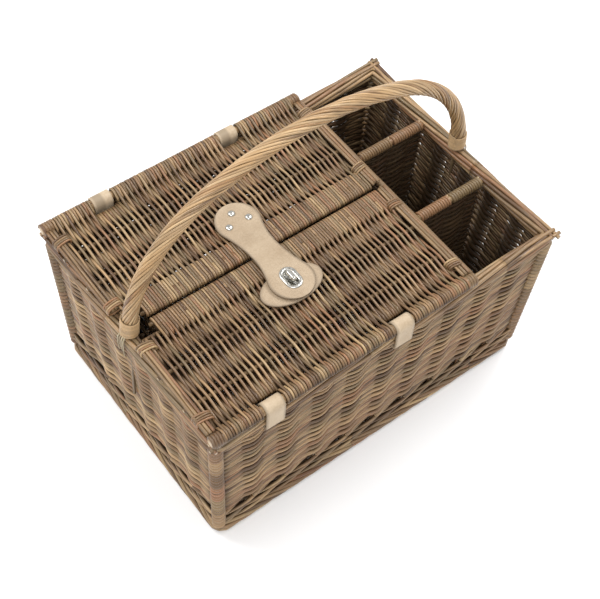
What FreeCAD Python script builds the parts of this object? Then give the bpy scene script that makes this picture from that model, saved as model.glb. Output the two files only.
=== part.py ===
import FreeCAD, Part
import math
import os

# Rectangular willow picnic basket. Millimetres, +Z up, origin at the centre of the underside.
# +X runs along the length towards the bottle compartments, +Y towards the back lid.

V = FreeCAD.Vector

# ---------------------------------------------------------------- basket body
rim_length = 490.0              # outside of the rim border, along X
rim_width = 344.0               # outside of the rim border, along Y
rim_height = 237.0              # top of the rim border above the floor
foot_length = 470.0             # outside of the foot border, along X
foot_width = 330.0              # outside of the foot border, along Y

foot_border_height = 17.0
foot_border_thickness = 18.0
wale_height = 31.0              # heavy band of weave above the foot border
wale_inset = 0.5                # how far the band stands inside the line from foot to rim
wall_thickness = 14.0
wall_inset = 2.0                # how far the siding stands inside the line from foot to rim
rim_border_height = 20.0
rim_border_thickness = 19.0
border_corner_radius = 8.0
rim_edge_radius = 4.0
corner_post_radius = 8.0
corner_post_gap = 0.05          # between a corner post and the end of a wall

stake_radius = 2.5
channel_gap = 0.15              # radial gap round a rod that runs inside weave
long_wall_stakes = 9
short_wall_stakes = 6

base_bottom = 5.0               # underside of the woven base above the floor
base_stick_radius = 4.0
base_stick_count = 5

# ---------------------------------------------------------------- compartments
partition_left = 118.0          # X of the partition's left face
partition_thickness = 10.0
partition_rail_radius = 5.0
partition_stake_count = 6
divider_offset = 55.0           # middle of each divider from the centre line, along Y
divider_thickness = 9.0
divider_rail_radius = 7.0
divider_stake_count = 2

# ---------------------------------------------------------------- handle
handle_leg_inset = 11.0         # middle of each leg at the rim, from the rim's end
handle_rise = 188.0             # middle of the crown above the rim
handle_haunch_radius = 176.0
bow_radius = 4.0
bow_leg_bottom = 110.0          # how far down the bow is pushed into the end walls
roping_radius = 8.5
binding_radius = 11.0
binding_height = 25.0
tail_thickness = 3.0
tail_width = 14.0
tail_drop = 34.0                # how far the rod tails hang below the rim
tail_rise = 3.5                 # how far they stand above it

# ---------------------------------------------------------------- lids
lid_rim_gap = 0.5               # under the closed lids
lid_left_margin = 1.0           # from the rim's left end to the lids
lid_partition_gap = 1.0         # from the lids to the partition
seam_gap = 3.0
rail_stick_radius = 6.0
rail_wrap_radius = 8.0
lid_stick_radius = 3.0
lid_stick_drop = 2.0            # lid sticks lie this far below the rail's axis
lid_panel_thickness = 12.5
seam_stick_offset = 8.5         # seam stick from the centre line
second_stick_offset = 22.0      # second stick from the centre line
lid_bay_count = 3               # equal bays between the second stick and the rail
end_band_width = 14.0           # strip at each lid end that holds the end rods
end_rod_radius = 1.9
end_rod_count = 3
end_binding_length = 12.0
end_binding_wall = 1.2
end_binding_offsets = (33.0, 138.0)
notch_length = 33.0             # clears the handle, measured from the lid's left end
notch_half_width = 18.5

# ---------------------------------------------------------------- leather hinge loops
hinge_loop_positions = (-166.0, 9.0)
hinge_loop_width = 24.5
leather_thickness = 2.5
hinge_gap = 0.3                 # between a loop and the rail stick that turns in it
slot_side_gap = 0.6             # beside a loop, along X
slot_reach = 17.5               # slot in the lid weave, from the rail's axis

# ---------------------------------------------------------------- closure
strap_x = -57.5
strap_rivet_end_y = 47.0        # middle of the strap's round end on the back lid
strap_lock_end_y = -54.0        # middle of its round end on the front lid
strap_end_radius = 27.0
strap_neck_half_width = 18.0
strap_bend_y = 30.0             # where the strap bends up off the back lid
strap_bend_gap = 0.2
ramp_top_y = 24.0
ramp_foot_y = -30.0
patch_x = -60.0
patch_y = -58.0
patch_length = 80.0
patch_width = 46.0
lock_y = -53.0
lock_plate_length = 30.0
lock_plate_width = 20.0
lock_plate_thickness = 0.8
lock_gap = 0.3
lock_post_radius = 2.2
lock_post_height = 7.0
lock_post_running_gap = 0.05
lock_screw_radius = 1.2
lock_screw_offset = 11.5
eyelet_length = 31.0
eyelet_width = 21.0
eyelet_front_thickness = 1.0
eyelet_back_thickness = 0.8
eyelet_slot_length = 20.5
eyelet_slot_width = 9.0
eyelet_collar_wall = 0.8
knob_length = 16.0
knob_width = 6.5
knob_height = 6.0
knob_neck_radius = 3.1
rivet_places = ((0.0, 13.0), (-13.5, -2.0), (13.5, -2.0))   # from the middle of the rivet end
rivet_shank_radius = 1.6
rivet_head_radius = 4.4
rivet_head_height = 2.2
rivet_tail = 0.5
burr_radius = 5.0
burr_thickness = 1.0

# ---------------------------------------------------------------- worked out from the above
wale_top = foot_border_height + wale_height
wall_top = rim_height - rim_border_height
stake_top = wall_top - leather_thickness - 1.0
inner_offset = wall_inset + wall_thickness
partition_right = partition_left + partition_thickness
handle_half_span = rim_length / 2 - handle_leg_inset
rail_y = rim_width / 2 - rail_stick_radius - hinge_gap
rail_z = rim_height + lid_rim_gap + rail_wrap_radius
lid_left = -rim_length / 2 + lid_left_margin
lid_right = partition_left - lid_partition_gap
weave_left = lid_left + end_band_width
weave_right = lid_right - end_band_width
notch_end = lid_left + notch_length
panel_bottom = rim_height + lid_rim_gap
panel_top = panel_bottom + lid_panel_thickness
lid_stick_z = rail_z - lid_stick_drop
patch_top = panel_top + leather_thickness
plate_top = patch_top + lock_plate_thickness
eyelet_back_bottom = plate_top + lock_gap
tongue_bottom = eyelet_back_bottom + eyelet_back_thickness
tongue_top = tongue_bottom + leather_thickness
eyelet_top = tongue_top + eyelet_front_thickness
knob_bottom = eyelet_top + lock_gap


# ---------------------------------------------------------------- helpers
def block(x0, x1, y0, y1, z0, z1):
    return Part.makeBox(x1 - x0, y1 - y0, z1 - z0, V(x0, y0, z0))


def rod(start, end, radius):
    return Part.makeCylinder(radius, (end - start).Length, start, end - start)


def leaning_rod(start, end, radius):
    """A rod along a leaning line, cut off level at both ends."""
    reach = (end - start).normalize() * radius
    sides = 2 * radius + (end - start).Length
    low = V(min(start.x, end.x) - sides, min(start.y, end.y) - sides, start.z)
    slab = Part.makeBox(3 * sides, 3 * sides, end.z - start.z, low)
    return rod(start - reach, end + reach, radius).common(slab)


def wedge_block(bottom, top):
    """A solid between two level rectangles, each given as (x0, x1, y0, y1, z)."""
    def corners(r):
        x0, x1, y0, y1, z = r
        return [V(x0, y0, z), V(x1, y0, z), V(x1, y1, z), V(x0, y1, z)]

    low = corners(bottom)
    high = corners(top)
    faces = [low, high]
    for i in range(4):
        j = (i + 1) % 4
        faces.append([low[i], low[j], high[j], high[i]])
    shell = Part.makeShell([Part.Face(Part.makePolygon(f + [f[0]])) for f in faces])
    solid = Part.makeSolid(shell)
    if solid.Volume < 0:
        solid.reverse()
    return solid


def outline(z):
    """Half length and half width, at height z, of the line from the foot border to the rim border."""
    share = (z - foot_border_height) / (wall_top - foot_border_height)
    half_x = (foot_length + share * (rim_length - foot_length)) / 2
    half_y = (foot_width + share * (rim_width - foot_width)) / 2
    return half_x, half_y


def frustum(z0, z1, inset):
    """The basket's tapering outline between two heights, set in by inset."""
    rectangles = []
    for z in (z0, z1):
        hx, hy = outline(z)
        rectangles.append((inset - hx, hx - inset, inset - hy, hy - inset, z))
    return wedge_block(*rectangles)


def vertical_edges(shape):
    found = []
    for edge in shape.Edges:
        ends = [v.Point for v in edge.Vertexes]
        if len(ends) == 2 and abs(ends[0].z - ends[1].z) > 1.0:
            if abs(ends[0].x - ends[1].x) < 1e-6 and abs(ends[0].y - ends[1].y) < 1e-6:
                found.append(edge)
    return found


def stadium(x, y, length, width, z0, z1):
    """A flat plate with two straight sides and two round ends, long along Y."""
    straight = (length - width) / 2
    plate = block(x - width / 2, x + width / 2, y - straight, y + straight, z0, z1)
    for end in (y - straight, y + straight):
        plate = plate.fuse(Part.makeCylinder(width / 2, z1 - z0, V(x, end, z0)))
    return plate.removeSplitter()


def group(shapes):
    return Part.makeCompound(shapes)


def mirrored_in_y(shape):
    return shape.mirror(V(0, 0, 0), V(0, 1, 0))


def mirrored_in_x(shape):
    return shape.mirror(V(0, 0, 0), V(1, 0, 0))


def cut_all(shape, tools):
    return shape.cut(group(tools)) if tools else shape


def post_reach():
    """Half widths, along X and Y, of a level cut through a leaning corner post."""
    rise = wall_top - foot_border_height
    lean_x = (rim_length - foot_length) / 2 / rise
    lean_y = (rim_width - foot_width) / 2 / rise
    return corner_post_radius * math.hypot(1, lean_x), corner_post_radius * math.hypot(1, lean_y)


# ---------------------------------------------------------------- stakes and posts
def stake_line(x_share, y_share, z):
    """A point of a stake at height z: shares are of the middle line of the walls."""
    hx, hy = outline(z)
    middle = wall_inset + wall_thickness / 2
    return V(x_share * (hx - middle), y_share * (hy - middle), z)


def stake(x_share, y_share, radius):
    start = stake_line(x_share, y_share, foot_border_height)
    end = stake_line(x_share, y_share, stake_top)
    return leaning_rod(start, end, radius)


def even_shares(count):
    """Places of count stakes along a wall, as shares of its half length."""
    return [(2 * (i + 1) / (count + 1) - 1) for i in range(count)]


def wall_stakes(radius):
    """Stakes of the front and right walls; the others are their mirror images."""
    front = [stake(s, -1, radius) for s in even_shares(long_wall_stakes)]
    right = [stake(1, s, radius) for s in even_shares(short_wall_stakes)]
    return front, right


def corner_post():
    ends = []
    for z in (wale_top, wall_top):
        hx, hy = outline(z)
        reach_x, reach_y = post_reach()
        ends.append(V(hx - wall_inset - reach_x, hy - wall_inset - reach_y, z))
    return leaning_rod(ends[0], ends[1], corner_post_radius)


# ---------------------------------------------------------------- basket body
def foot_border():
    hx, hy = foot_length / 2, foot_width / 2
    outer = block(-hx, hx, -hy, hy, 0, foot_border_height)
    outer = outer.makeFillet(border_corner_radius, vertical_edges(outer))
    ix, iy = hx - foot_border_thickness, hy - foot_border_thickness
    return outer.cut(block(-ix, ix, -iy, iy, 0, foot_border_height))


def base_sticks(radius):
    ix = foot_length / 2 - foot_border_thickness
    iy = foot_width / 2 - foot_border_thickness
    z = (base_bottom + foot_border_height) / 2
    pitch = 2 * iy / base_stick_count
    rods = []
    for i in range(base_stick_count):
        y = -iy + (i + 0.5) * pitch
        rods.append(rod(V(-ix, y, z), V(ix, y, z), radius))
    return rods


def base_weave():
    ix = foot_length / 2 - foot_border_thickness
    iy = foot_width / 2 - foot_border_thickness
    panel = block(-ix, ix, -iy, iy, base_bottom, foot_border_height)
    return cut_all(panel, base_sticks(base_stick_radius + channel_gap))


def bottom_wale(stake_channels):
    ring = frustum(foot_border_height, wale_top, wale_inset)
    ring = ring.cut(frustum(foot_border_height, wale_top, inner_offset))
    return cut_all(ring, stake_channels)


def front_wall(channels):
    ends = wall_inset + 2 * post_reach()[0] + corner_post_gap
    levels = []
    for z in (wale_top, wall_top):
        hx, hy = outline(z)
        levels.append((ends - hx, hx - ends, wall_inset - hy, inner_offset - hy, z))
    tools = list(channels)
    for x in hinge_loop_positions:
        tools.append(mirrored_in_y(loop_outside(x)))
    return cut_all(wedge_block(*levels), tools)


def right_wall(channels):
    ends = wall_inset + 2 * post_reach()[1] + corner_post_gap
    levels = []
    for z in (wale_top, wall_top):
        hx, hy = outline(z)
        levels.append((hx - inner_offset, hx - wall_inset, ends - hy, hy - ends, z))
    return cut_all(wedge_block(*levels), channels + [bow_leg(bow_radius + channel_gap)])


def rim_border():
    hx, hy = rim_length / 2, rim_width / 2
    outer = block(-hx, hx, -hy, hy, wall_top, rim_height)
    outer = outer.makeFillet(border_corner_radius, vertical_edges(outer))
    top = [f for f in outer.Faces if abs(f.CenterOfMass.z - rim_height) < 1e-6][0]
    outer = outer.makeFillet(rim_edge_radius, top.Edges)
    ix, iy = hx - rim_border_thickness, hy - rim_border_thickness
    tools = [block(-ix, ix, -iy, iy, wall_top, rim_height)]
    leg = bow_leg(bow_radius + channel_gap)
    tools += [leg, mirrored_in_x(leg)]
    for x in hinge_loop_positions:
        tools += [loop_outside(x), mirrored_in_y(loop_outside(x))]
    return loops_keep_border(cut_all(outer, tools), outer)


def loops_keep_border(cut_border, whole_border):
    """Puts back the part of the border that each hinge loop goes round."""
    kept = cut_border
    for x in hinge_loop_positions:
        inside = loop_inside(x).common(whole_border)
        kept = kept.fuse([inside, mirrored_in_y(inside)])
    return kept.removeSplitter()


# ---------------------------------------------------------------- leather hinge loops (back side)
def loop_solid(x, radius, bottom):
    x0, x1 = x - hinge_loop_width / 2, x + hinge_loop_width / 2
    head = rod(V(x0, rail_y, rail_z), V(x1, rail_y, rail_z), radius)
    legs = block(x0, x1, rail_y - radius, rail_y + radius, bottom, rail_z)
    return head.fuse(legs).removeSplitter()


def loop_inside(x):
    """What a loop encloses: the rail stick with its gap, and the outer part of the border."""
    return loop_solid(x, rail_stick_radius + hinge_gap, wall_top)


def loop_outside(x):
    radius = rail_stick_radius + hinge_gap + leather_thickness
    return loop_solid(x, radius, wall_top - leather_thickness)


def hinge_loop(x):
    return loop_outside(x).cut(loop_inside(x))


# ---------------------------------------------------------------- compartments
def partition():
    top_weave = rim_height - 2 * partition_rail_radius
    levels = []
    for z in (foot_border_height, wall_top):
        hy = outline(z)[1] - inner_offset
        levels.append((partition_left, partition_right, -hy, hy, z))
    iy = rim_width / 2 - rim_border_thickness
    upper = block(partition_left, partition_right, -iy, iy, wall_top, top_weave)
    panel = wedge_block(*levels).fuse(upper).removeSplitter()
    return cut_all(panel, partition_stakes(stake_radius + channel_gap))


def partition_stakes(radius):
    x = partition_left + partition_thickness / 2
    iy = outline(foot_border_height)[1] - inner_offset
    rods = []
    for share in even_shares(partition_stake_count):
        foot = V(x, share * iy, foot_border_height)
        rods.append(rod(foot, foot + V(0, 0, stake_top - foot_border_height), radius))
    return rods


def partition_rail():
    iy = rim_width / 2 - rim_border_thickness
    x = partition_left + partition_thickness / 2
    z = rim_height - partition_rail_radius
    return rod(V(x, -iy, z), V(x, iy, z), partition_rail_radius)


def divider(y):
    half = divider_thickness / 2
    levels = []
    for z in (foot_border_height, wall_top):
        inner = outline(z)[0] - inner_offset
        levels.append((partition_right, inner, y - half, y + half, z))
    inner = rim_length / 2 - rim_border_thickness
    top_weave = rim_height - 2 * divider_rail_radius
    upper = block(partition_right, inner, y - half, y + half, wall_top, top_weave)
    panel = wedge_block(*levels).fuse(upper).removeSplitter()
    return cut_all(panel, divider_stakes(y, stake_radius + channel_gap))


def divider_stakes(y, radius):
    inner = outline(foot_border_height)[0] - inner_offset
    pitch = (inner - partition_right) / (divider_stake_count + 1)
    rods = []
    for i in range(divider_stake_count):
        foot = V(partition_right + (i + 1) * pitch, y, foot_border_height)
        rods.append(rod(foot, foot + V(0, 0, stake_top - foot_border_height), radius))
    return rods


def divider_rail(y):
    inner = rim_length / 2 - rim_border_thickness
    z = rim_height - divider_rail_radius
    return rod(V(partition_right, y, z), V(inner, y, z), divider_rail_radius)


# ---------------------------------------------------------------- handle
def disc(radius, centre, normal):
    return Part.Face(Part.Wire(Part.makeCircle(radius, centre, normal)))


def arch(radius):
    """A round rod along the handle's arch: two haunch arcs and a flatter crown arc, all tangent."""
    haunch_x = handle_half_span - handle_haunch_radius
    crown_radius = (handle_half_span ** 2 + handle_rise ** 2
                    - 2 * handle_half_span * handle_haunch_radius)
    crown_radius /= 2 * (handle_rise - handle_haunch_radius)
    crown_centre = V(0, 0, rim_height + handle_rise - crown_radius)
    crown_half_angle = math.atan2(haunch_x, crown_radius - handle_rise)
    haunch_angle = 90 - math.degrees(crown_half_angle)
    turn = V(0, -1, 0)
    haunch_centre = V(haunch_x, 0, rim_height)
    start = disc(radius, V(handle_half_span, 0, rim_height), V(0, 0, 1))
    right = start.revolve(haunch_centre, turn, haunch_angle)
    direction = V(math.sin(crown_half_angle), 0, math.cos(crown_half_angle))
    crown_start = disc(radius, crown_centre + direction * crown_radius,
                       V(-direction.z, 0, direction.x))
    crown = crown_start.revolve(crown_centre, turn, 2 * math.degrees(crown_half_angle))
    return right.fuse([crown, mirrored_in_x(right)]).removeSplitter()


def bow_leg(radius):
    """The bow's right leg, leaning with the end wall, with a ball where it meets the arch."""
    hx = outline(bow_leg_bottom)[0]
    foot = V(hx - wall_inset - wall_thickness / 2, 0, bow_leg_bottom)
    knee = V(handle_half_span, 0, rim_height)
    return rod(foot, knee, radius).fuse(Part.makeSphere(radius, knee))


def handle_bow():
    leg = bow_leg(bow_radius)
    return arch(bow_radius).fuse([leg, mirrored_in_x(leg)]).removeSplitter()


def handle_roping():
    ball = Part.makeSphere(bow_radius + channel_gap, V(handle_half_span, 0, rim_height))
    tools = [arch(bow_radius + channel_gap), ball, mirrored_in_x(ball)]
    return arch(roping_radius).cut(tools[0]).cut(tools[1]).cut(tools[2])


def handle_binding():
    haunch_centre = V(handle_half_span - handle_haunch_radius, 0, rim_height)
    angle = math.degrees(binding_height / handle_haunch_radius)
    start = V(handle_half_span, 0, rim_height)
    turn = V(0, -1, 0)
    outer = disc(binding_radius, start, V(0, 0, 1)).revolve(haunch_centre, turn, angle)
    inner = disc(roping_radius + channel_gap, start, V(0, 0, 1))
    return outer.cut(inner.revolve(haunch_centre, turn, angle))


def handle_tail():
    x = rim_length / 2
    half = tail_width / 2
    return block(x, x + tail_thickness, -half, half, rim_height - tail_drop, rim_height + tail_rise)


# ---------------------------------------------------------------- lids (back side)
def lid_stick_places():
    """Y of each lid stick and X of its left end."""
    bay = (rail_y - second_stick_offset) / lid_bay_count
    places = [(seam_stick_offset, notch_end), (second_stick_offset, weave_left)]
    for i in range(1, lid_bay_count):
        places.append((second_stick_offset + i * bay, lid_left))
    return places


def lid_sticks(radius):
    rods = []
    for y, left in lid_stick_places():
        rods.append(rod(V(left, y, lid_stick_z), V(lid_right, y, lid_stick_z), radius))
    return rods


def lid_rail(radius):
    return rod(V(lid_left, rail_y, rail_z), V(lid_right, rail_y, rail_z), radius)


def lid_weave(holes):
    panel = block(weave_left, weave_right, seam_gap / 2, rail_y, panel_bottom, panel_top)
    panel = panel.fuse(lid_rail(rail_wrap_radius)).removeSplitter()
    notch = block(lid_left, notch_end, 0, notch_half_width, panel_bottom, panel_top)
    tools = [notch, lid_rail(rail_stick_radius + channel_gap)]
    tools += lid_sticks(lid_stick_radius + channel_gap)
    half = hinge_loop_width / 2 + slot_side_gap
    for x in hinge_loop_positions:
        tools.append(block(x - half, x + half, rail_y - slot_reach, rail_y + slot_reach,
                           rail_z - slot_reach, rail_z + slot_reach))
    for tool in tools + holes:
        panel = panel.cut(tool)
    return panel


def end_bands():
    """Left and right edge of the strip at each lid end, and Y where its end rods start."""
    return [(lid_left, weave_left, second_stick_offset + 2 * lid_stick_radius),
            (weave_right, lid_right, seam_gap / 2)]


def lid_end_rods():
    z = lid_stick_z + lid_stick_radius + end_rod_radius
    stop = rail_y - rail_wrap_radius
    rods = []
    for x0, x1, start in end_bands():
        pitch = (x1 - x0 - 2 * end_binding_wall) / end_rod_count
        for i in range(end_rod_count):
            x = x0 + end_binding_wall + (i + 0.5) * pitch
            rods.append(rod(V(x, start, z), V(x, stop, z), end_rod_radius))
    return group(rods)


def lid_bindings():
    low = rail_z - rail_wrap_radius
    high = rail_z + rail_wrap_radius
    wall = end_binding_wall
    rings = []
    for x0, x1, _ in end_bands():
        for y in end_binding_offsets:
            y0, y1 = y - end_binding_length / 2, y + end_binding_length / 2
            ring = block(x0, x1, y0, y1, low, high)
            rings.append(ring.cut(block(x0 + wall, x1 - wall, y0, y1, low + wall, high - wall)))
    return group(rings)


def lid_nodes(holes):
    return {
        "lid_weave": lid_weave(holes),
        "lid_sticks": group(lid_sticks(lid_stick_radius)),
        "lid_rail": lid_rail(rail_stick_radius),
        "lid_end_rods": lid_end_rods(),
        "lid_bindings": lid_bindings(),
    }


# ---------------------------------------------------------------- closure strap
def strap_outline():
    """Dog-bone outline of the strap: two round ends joined by hollow sides, all arcs tangent."""
    end, neck = strap_end_radius, strap_neck_half_width
    half = (strap_rivet_end_y - strap_lock_end_y) / 2
    middle = (strap_rivet_end_y + strap_lock_end_y) / 2
    side_radius = (half ** 2 + neck ** 2 - end ** 2) / (2 * (end - neck))
    reach = neck + side_radius
    side = V(reach, -half, 0).normalize() * end
    top = V(strap_x, strap_rivet_end_y, 0)
    bottom = V(strap_x, strap_lock_end_y, 0)
    top_right = top + V(side.x, side.y, 0)
    top_left = top + V(-side.x, side.y, 0)
    low_left = bottom + V(-side.x, -side.y, 0)
    low_right = bottom + V(side.x, -side.y, 0)
    arcs = [
        Part.Arc(top_right, top + V(0, end, 0), top_left),
        Part.Arc(top_left, V(strap_x - neck, middle, 0), low_left),
        Part.Arc(low_left, bottom - V(0, end, 0), low_right),
        Part.Arc(low_right, V(strap_x + neck, middle, 0), top_right),
    ]
    return Part.Face(Part.Wire([a.toShape() for a in arcs]))


def strap_plan():
    face = strap_outline()
    face.translate(V(0, 0, panel_bottom))
    return face.extrude(V(0, 0, knob_bottom - panel_bottom))


def strap_side_profile(points):
    """A strip seen from the side, wide enough to cover the whole strap."""
    x = strap_x - 2 * strap_end_radius
    corners = [V(x, y, z) for y, z in points]
    face = Part.Face(Part.makePolygon(corners + [corners[0]]))
    return face.extrude(V(4 * strap_end_radius, 0, 0))


def rivet_axes():
    return [V(strap_x + dx, strap_rivet_end_y + dy, 0) for dx, dy in rivet_places]


def rivet_holes():
    length = patch_top - panel_bottom
    radius = rivet_shank_radius + channel_gap
    return [Part.makeCylinder(radius, length, p + V(0, 0, panel_bottom)) for p in rivet_axes()]


def strap_anchor():
    start = strap_bend_y + strap_bend_gap
    stop = strap_rivet_end_y + 2 * strap_end_radius
    profile = [(start, panel_top), (stop, panel_top), (stop, patch_top), (start, patch_top)]
    return cut_all(strap_plan().common(strap_side_profile(profile)), rivet_holes())


def strap_tongue():
    low = panel_top + strap_bend_gap
    high = low + leather_thickness
    stop = strap_lock_end_y - 2 * strap_end_radius
    profile = [(strap_bend_y, low), (ramp_top_y, low), (ramp_foot_y, tongue_bottom),
               (stop, tongue_bottom), (stop, tongue_top), (ramp_foot_y, tongue_top),
               (ramp_top_y, high), (strap_bend_y, high)]
    collar = stadium(strap_x, lock_y, eyelet_slot_length + 2 * eyelet_collar_wall,
                     eyelet_slot_width + 2 * eyelet_collar_wall, tongue_bottom, tongue_top)
    return strap_plan().common(strap_side_profile(profile)).cut(collar)


def strap_rivets():
    rivets = []
    ball = (rivet_head_radius ** 2 + rivet_head_height ** 2) / (2 * rivet_head_height)
    low = panel_bottom - burr_thickness - rivet_tail
    for axis in rivet_axes():
        head_centre = axis + V(0, 0, patch_top + rivet_head_height - ball)
        cap = block(axis.x - ball, axis.x + ball, axis.y - ball, axis.y + ball,
                    patch_top, patch_top + 2 * ball)
        head = Part.makeSphere(ball, head_centre).common(cap)
        shank = Part.makeCylinder(rivet_shank_radius, patch_top - low, axis + V(0, 0, low))
        rivets.append(head.fuse(shank).removeSplitter())
    return group(rivets)


def rivet_burrs():
    burrs = []
    for axis in rivet_axes():
        seat = axis + V(0, 0, panel_bottom - burr_thickness)
        burr = Part.makeCylinder(burr_radius, burr_thickness, seat)
        burrs.append(burr.cut(Part.makeCylinder(rivet_shank_radius, burr_thickness, seat)))
    return group(burrs)


# ---------------------------------------------------------------- turn lock
def lock_screws(radius):
    low = panel_bottom - burr_thickness - rivet_tail
    places = [V(strap_x, lock_y + s * lock_screw_offset, low) for s in (-1, 1)]
    return [Part.makeCylinder(radius, plate_top - low, p) for p in places]


def base_patch():
    ellipse = Part.Ellipse(V(patch_x, patch_y, panel_top), patch_length / 2, patch_width / 2)
    face = Part.Face(Part.Wire([ellipse.toShape()]))
    patch = face.extrude(V(0, 0, leather_thickness))
    return cut_all(patch, lock_screws(lock_screw_radius + channel_gap))


def lock_plate():
    plate = stadium(strap_x, lock_y, lock_plate_length, lock_plate_width, patch_top, plate_top)
    plate = cut_all(plate, lock_screws(lock_screw_radius))
    post = Part.makeCylinder(lock_post_radius, lock_post_height, V(strap_x, lock_y, plate_top))
    return plate.fuse(post).removeSplitter()


def lock_backing_plate():
    low = panel_bottom - burr_thickness
    plate = stadium(strap_x, lock_y, lock_plate_length, lock_plate_width, low, panel_bottom)
    return cut_all(plate, lock_screws(lock_screw_radius))


def eyelet_front():
    plate = stadium(strap_x, lock_y, eyelet_length, eyelet_width, tongue_top, eyelet_top)
    collar = stadium(strap_x, lock_y, eyelet_slot_length + 2 * eyelet_collar_wall,
                     eyelet_slot_width + 2 * eyelet_collar_wall, tongue_bottom, tongue_top)
    slot = stadium(strap_x, lock_y, eyelet_slot_length, eyelet_slot_width,
                   tongue_bottom, eyelet_top)
    return plate.fuse(collar).removeSplitter().cut(slot)


def eyelet_back():
    plate = stadium(strap_x, lock_y, eyelet_length, eyelet_width,
                    eyelet_back_bottom, tongue_bottom)
    slot = stadium(strap_x, lock_y, eyelet_slot_length, eyelet_slot_width,
                   eyelet_back_bottom, tongue_bottom)
    return plate.cut(slot)


def turn_knob():
    neck_bottom = plate_top + lock_gap
    neck = Part.makeCylinder(knob_neck_radius, knob_bottom - neck_bottom,
                             V(strap_x, lock_y, neck_bottom))
    bar = stadium(strap_x, lock_y, knob_length, knob_width, knob_bottom, knob_bottom + knob_height)
    bore = Part.makeCylinder(lock_post_radius + lock_post_running_gap, lock_post_height,
                             V(strap_x, lock_y, neck_bottom))
    return bar.fuse(neck).removeSplitter().cut(bore)


# ---------------------------------------------------------------- all the nodes
def body_nodes():
    front, right = wall_stakes(stake_radius)
    front_channels, right_channels = wall_stakes(stake_radius + channel_gap)
    back_channels = [mirrored_in_y(c) for c in front_channels]
    left_channels = [mirrored_in_x(c) for c in right_channels]
    front_siding = front_wall(front_channels)
    right_siding = right_wall(right_channels)
    every_channel = front_channels + back_channels + left_channels + right_channels
    post = corner_post()
    nodes = {
        "foot_border": foot_border(),
        "base_weave": base_weave(),
        "base_sticks": group(base_sticks(base_stick_radius)),
        "bottom_wale": bottom_wale(every_channel),
        "front_wall_weave": front_siding,
        "back_wall_weave": mirrored_in_y(front_siding),
        "right_wall_weave": right_siding,
        "left_wall_weave": mirrored_in_x(right_siding),
        "front_wall_stakes": group(front),
        "back_wall_stakes": mirrored_in_y(group(front)),
        "right_wall_stakes": group(right),
        "left_wall_stakes": mirrored_in_x(group(right)),
        "corner_post_back_right": post,
        "corner_post_back_left": mirrored_in_x(post),
        "corner_post_front_right": mirrored_in_y(post),
        "corner_post_front_left": mirrored_in_y(mirrored_in_x(post)),
        "rim_border": rim_border(),
    }
    for name, x in zip(("left", "right"), hinge_loop_positions):
        nodes["hinge_loop_back_" + name] = hinge_loop(x)
        nodes["hinge_loop_front_" + name] = mirrored_in_y(hinge_loop(x))
    return nodes


def compartment_nodes():
    nodes = {
        "partition_weave": partition(),
        "partition_stakes": group(partition_stakes(stake_radius)),
        "partition_rail": partition_rail(),
    }
    for name, y in (("front", -divider_offset), ("back", divider_offset)):
        nodes[name + "_divider_weave"] = divider(y)
        nodes[name + "_divider_stakes"] = group(divider_stakes(y, stake_radius))
        nodes[name + "_divider_rail"] = divider_rail(y)
    return nodes


def handle_nodes():
    return {
        "handle_bow": handle_bow(),
        "handle_roping": handle_roping(),
        "handle_binding_right": handle_binding(),
        "handle_binding_left": mirrored_in_x(handle_binding()),
        "handle_tail_right": handle_tail(),
        "handle_tail_left": mirrored_in_x(handle_tail()),
    }


def both_lids():
    screw_holes = [mirrored_in_y(s) for s in lock_screws(lock_screw_radius + channel_gap)]
    nodes = {}
    for name, shape in lid_nodes(rivet_holes()).items():
        nodes["back_" + name] = shape
    for name, shape in lid_nodes(screw_holes).items():
        nodes["front_" + name] = mirrored_in_y(shape)
    return nodes


def closure_nodes():
    return {
        "strap_anchor": strap_anchor(),
        "strap_rivets": strap_rivets(),
        "rivet_burrs": rivet_burrs(),
        "strap_tongue": strap_tongue(),
        "eyelet_front": eyelet_front(),
        "eyelet_back": eyelet_back(),
        "closure_patch": base_patch(),
        "lock_plate": lock_plate(),
        "lock_backing_plate": lock_backing_plate(),
        "lock_screws": group(lock_screws(lock_screw_radius)),
        "turn_knob": turn_knob(),
    }


os.makedirs("parts", exist_ok=True)
for make_nodes in (body_nodes, compartment_nodes, handle_nodes, both_lids, closure_nodes):
    for node, shape in make_nodes().items():
        shape.exportStep("parts/" + node + ".step")
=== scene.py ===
"""Wicker picnic basket: every willow rod, strap and fitting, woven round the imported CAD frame."""
import math
import bpy
import numpy as np
from mathutils import Matrix, Vector


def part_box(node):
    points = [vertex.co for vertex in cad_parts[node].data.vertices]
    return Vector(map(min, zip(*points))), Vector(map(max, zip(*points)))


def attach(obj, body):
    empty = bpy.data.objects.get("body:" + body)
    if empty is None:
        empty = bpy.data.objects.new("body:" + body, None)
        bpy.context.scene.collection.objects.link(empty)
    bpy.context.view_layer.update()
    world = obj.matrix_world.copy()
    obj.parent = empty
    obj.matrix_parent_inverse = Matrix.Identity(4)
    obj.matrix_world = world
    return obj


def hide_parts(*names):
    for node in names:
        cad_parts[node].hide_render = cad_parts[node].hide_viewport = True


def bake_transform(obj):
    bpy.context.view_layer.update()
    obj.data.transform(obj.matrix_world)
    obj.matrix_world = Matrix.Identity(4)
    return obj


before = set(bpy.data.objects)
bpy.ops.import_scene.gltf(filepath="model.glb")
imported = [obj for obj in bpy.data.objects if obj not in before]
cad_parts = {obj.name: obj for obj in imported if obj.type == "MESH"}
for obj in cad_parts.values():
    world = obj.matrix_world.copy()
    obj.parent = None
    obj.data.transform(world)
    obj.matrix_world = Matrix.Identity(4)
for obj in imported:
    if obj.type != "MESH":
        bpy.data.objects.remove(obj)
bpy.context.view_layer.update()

MM = 0.001
X_AXIS = np.array((1.0, 0.0, 0.0))
Y_AXIS = np.array((0.0, 1.0, 0.0))
Z_AXIS = np.array((0.0, 0.0, 1.0))
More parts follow.
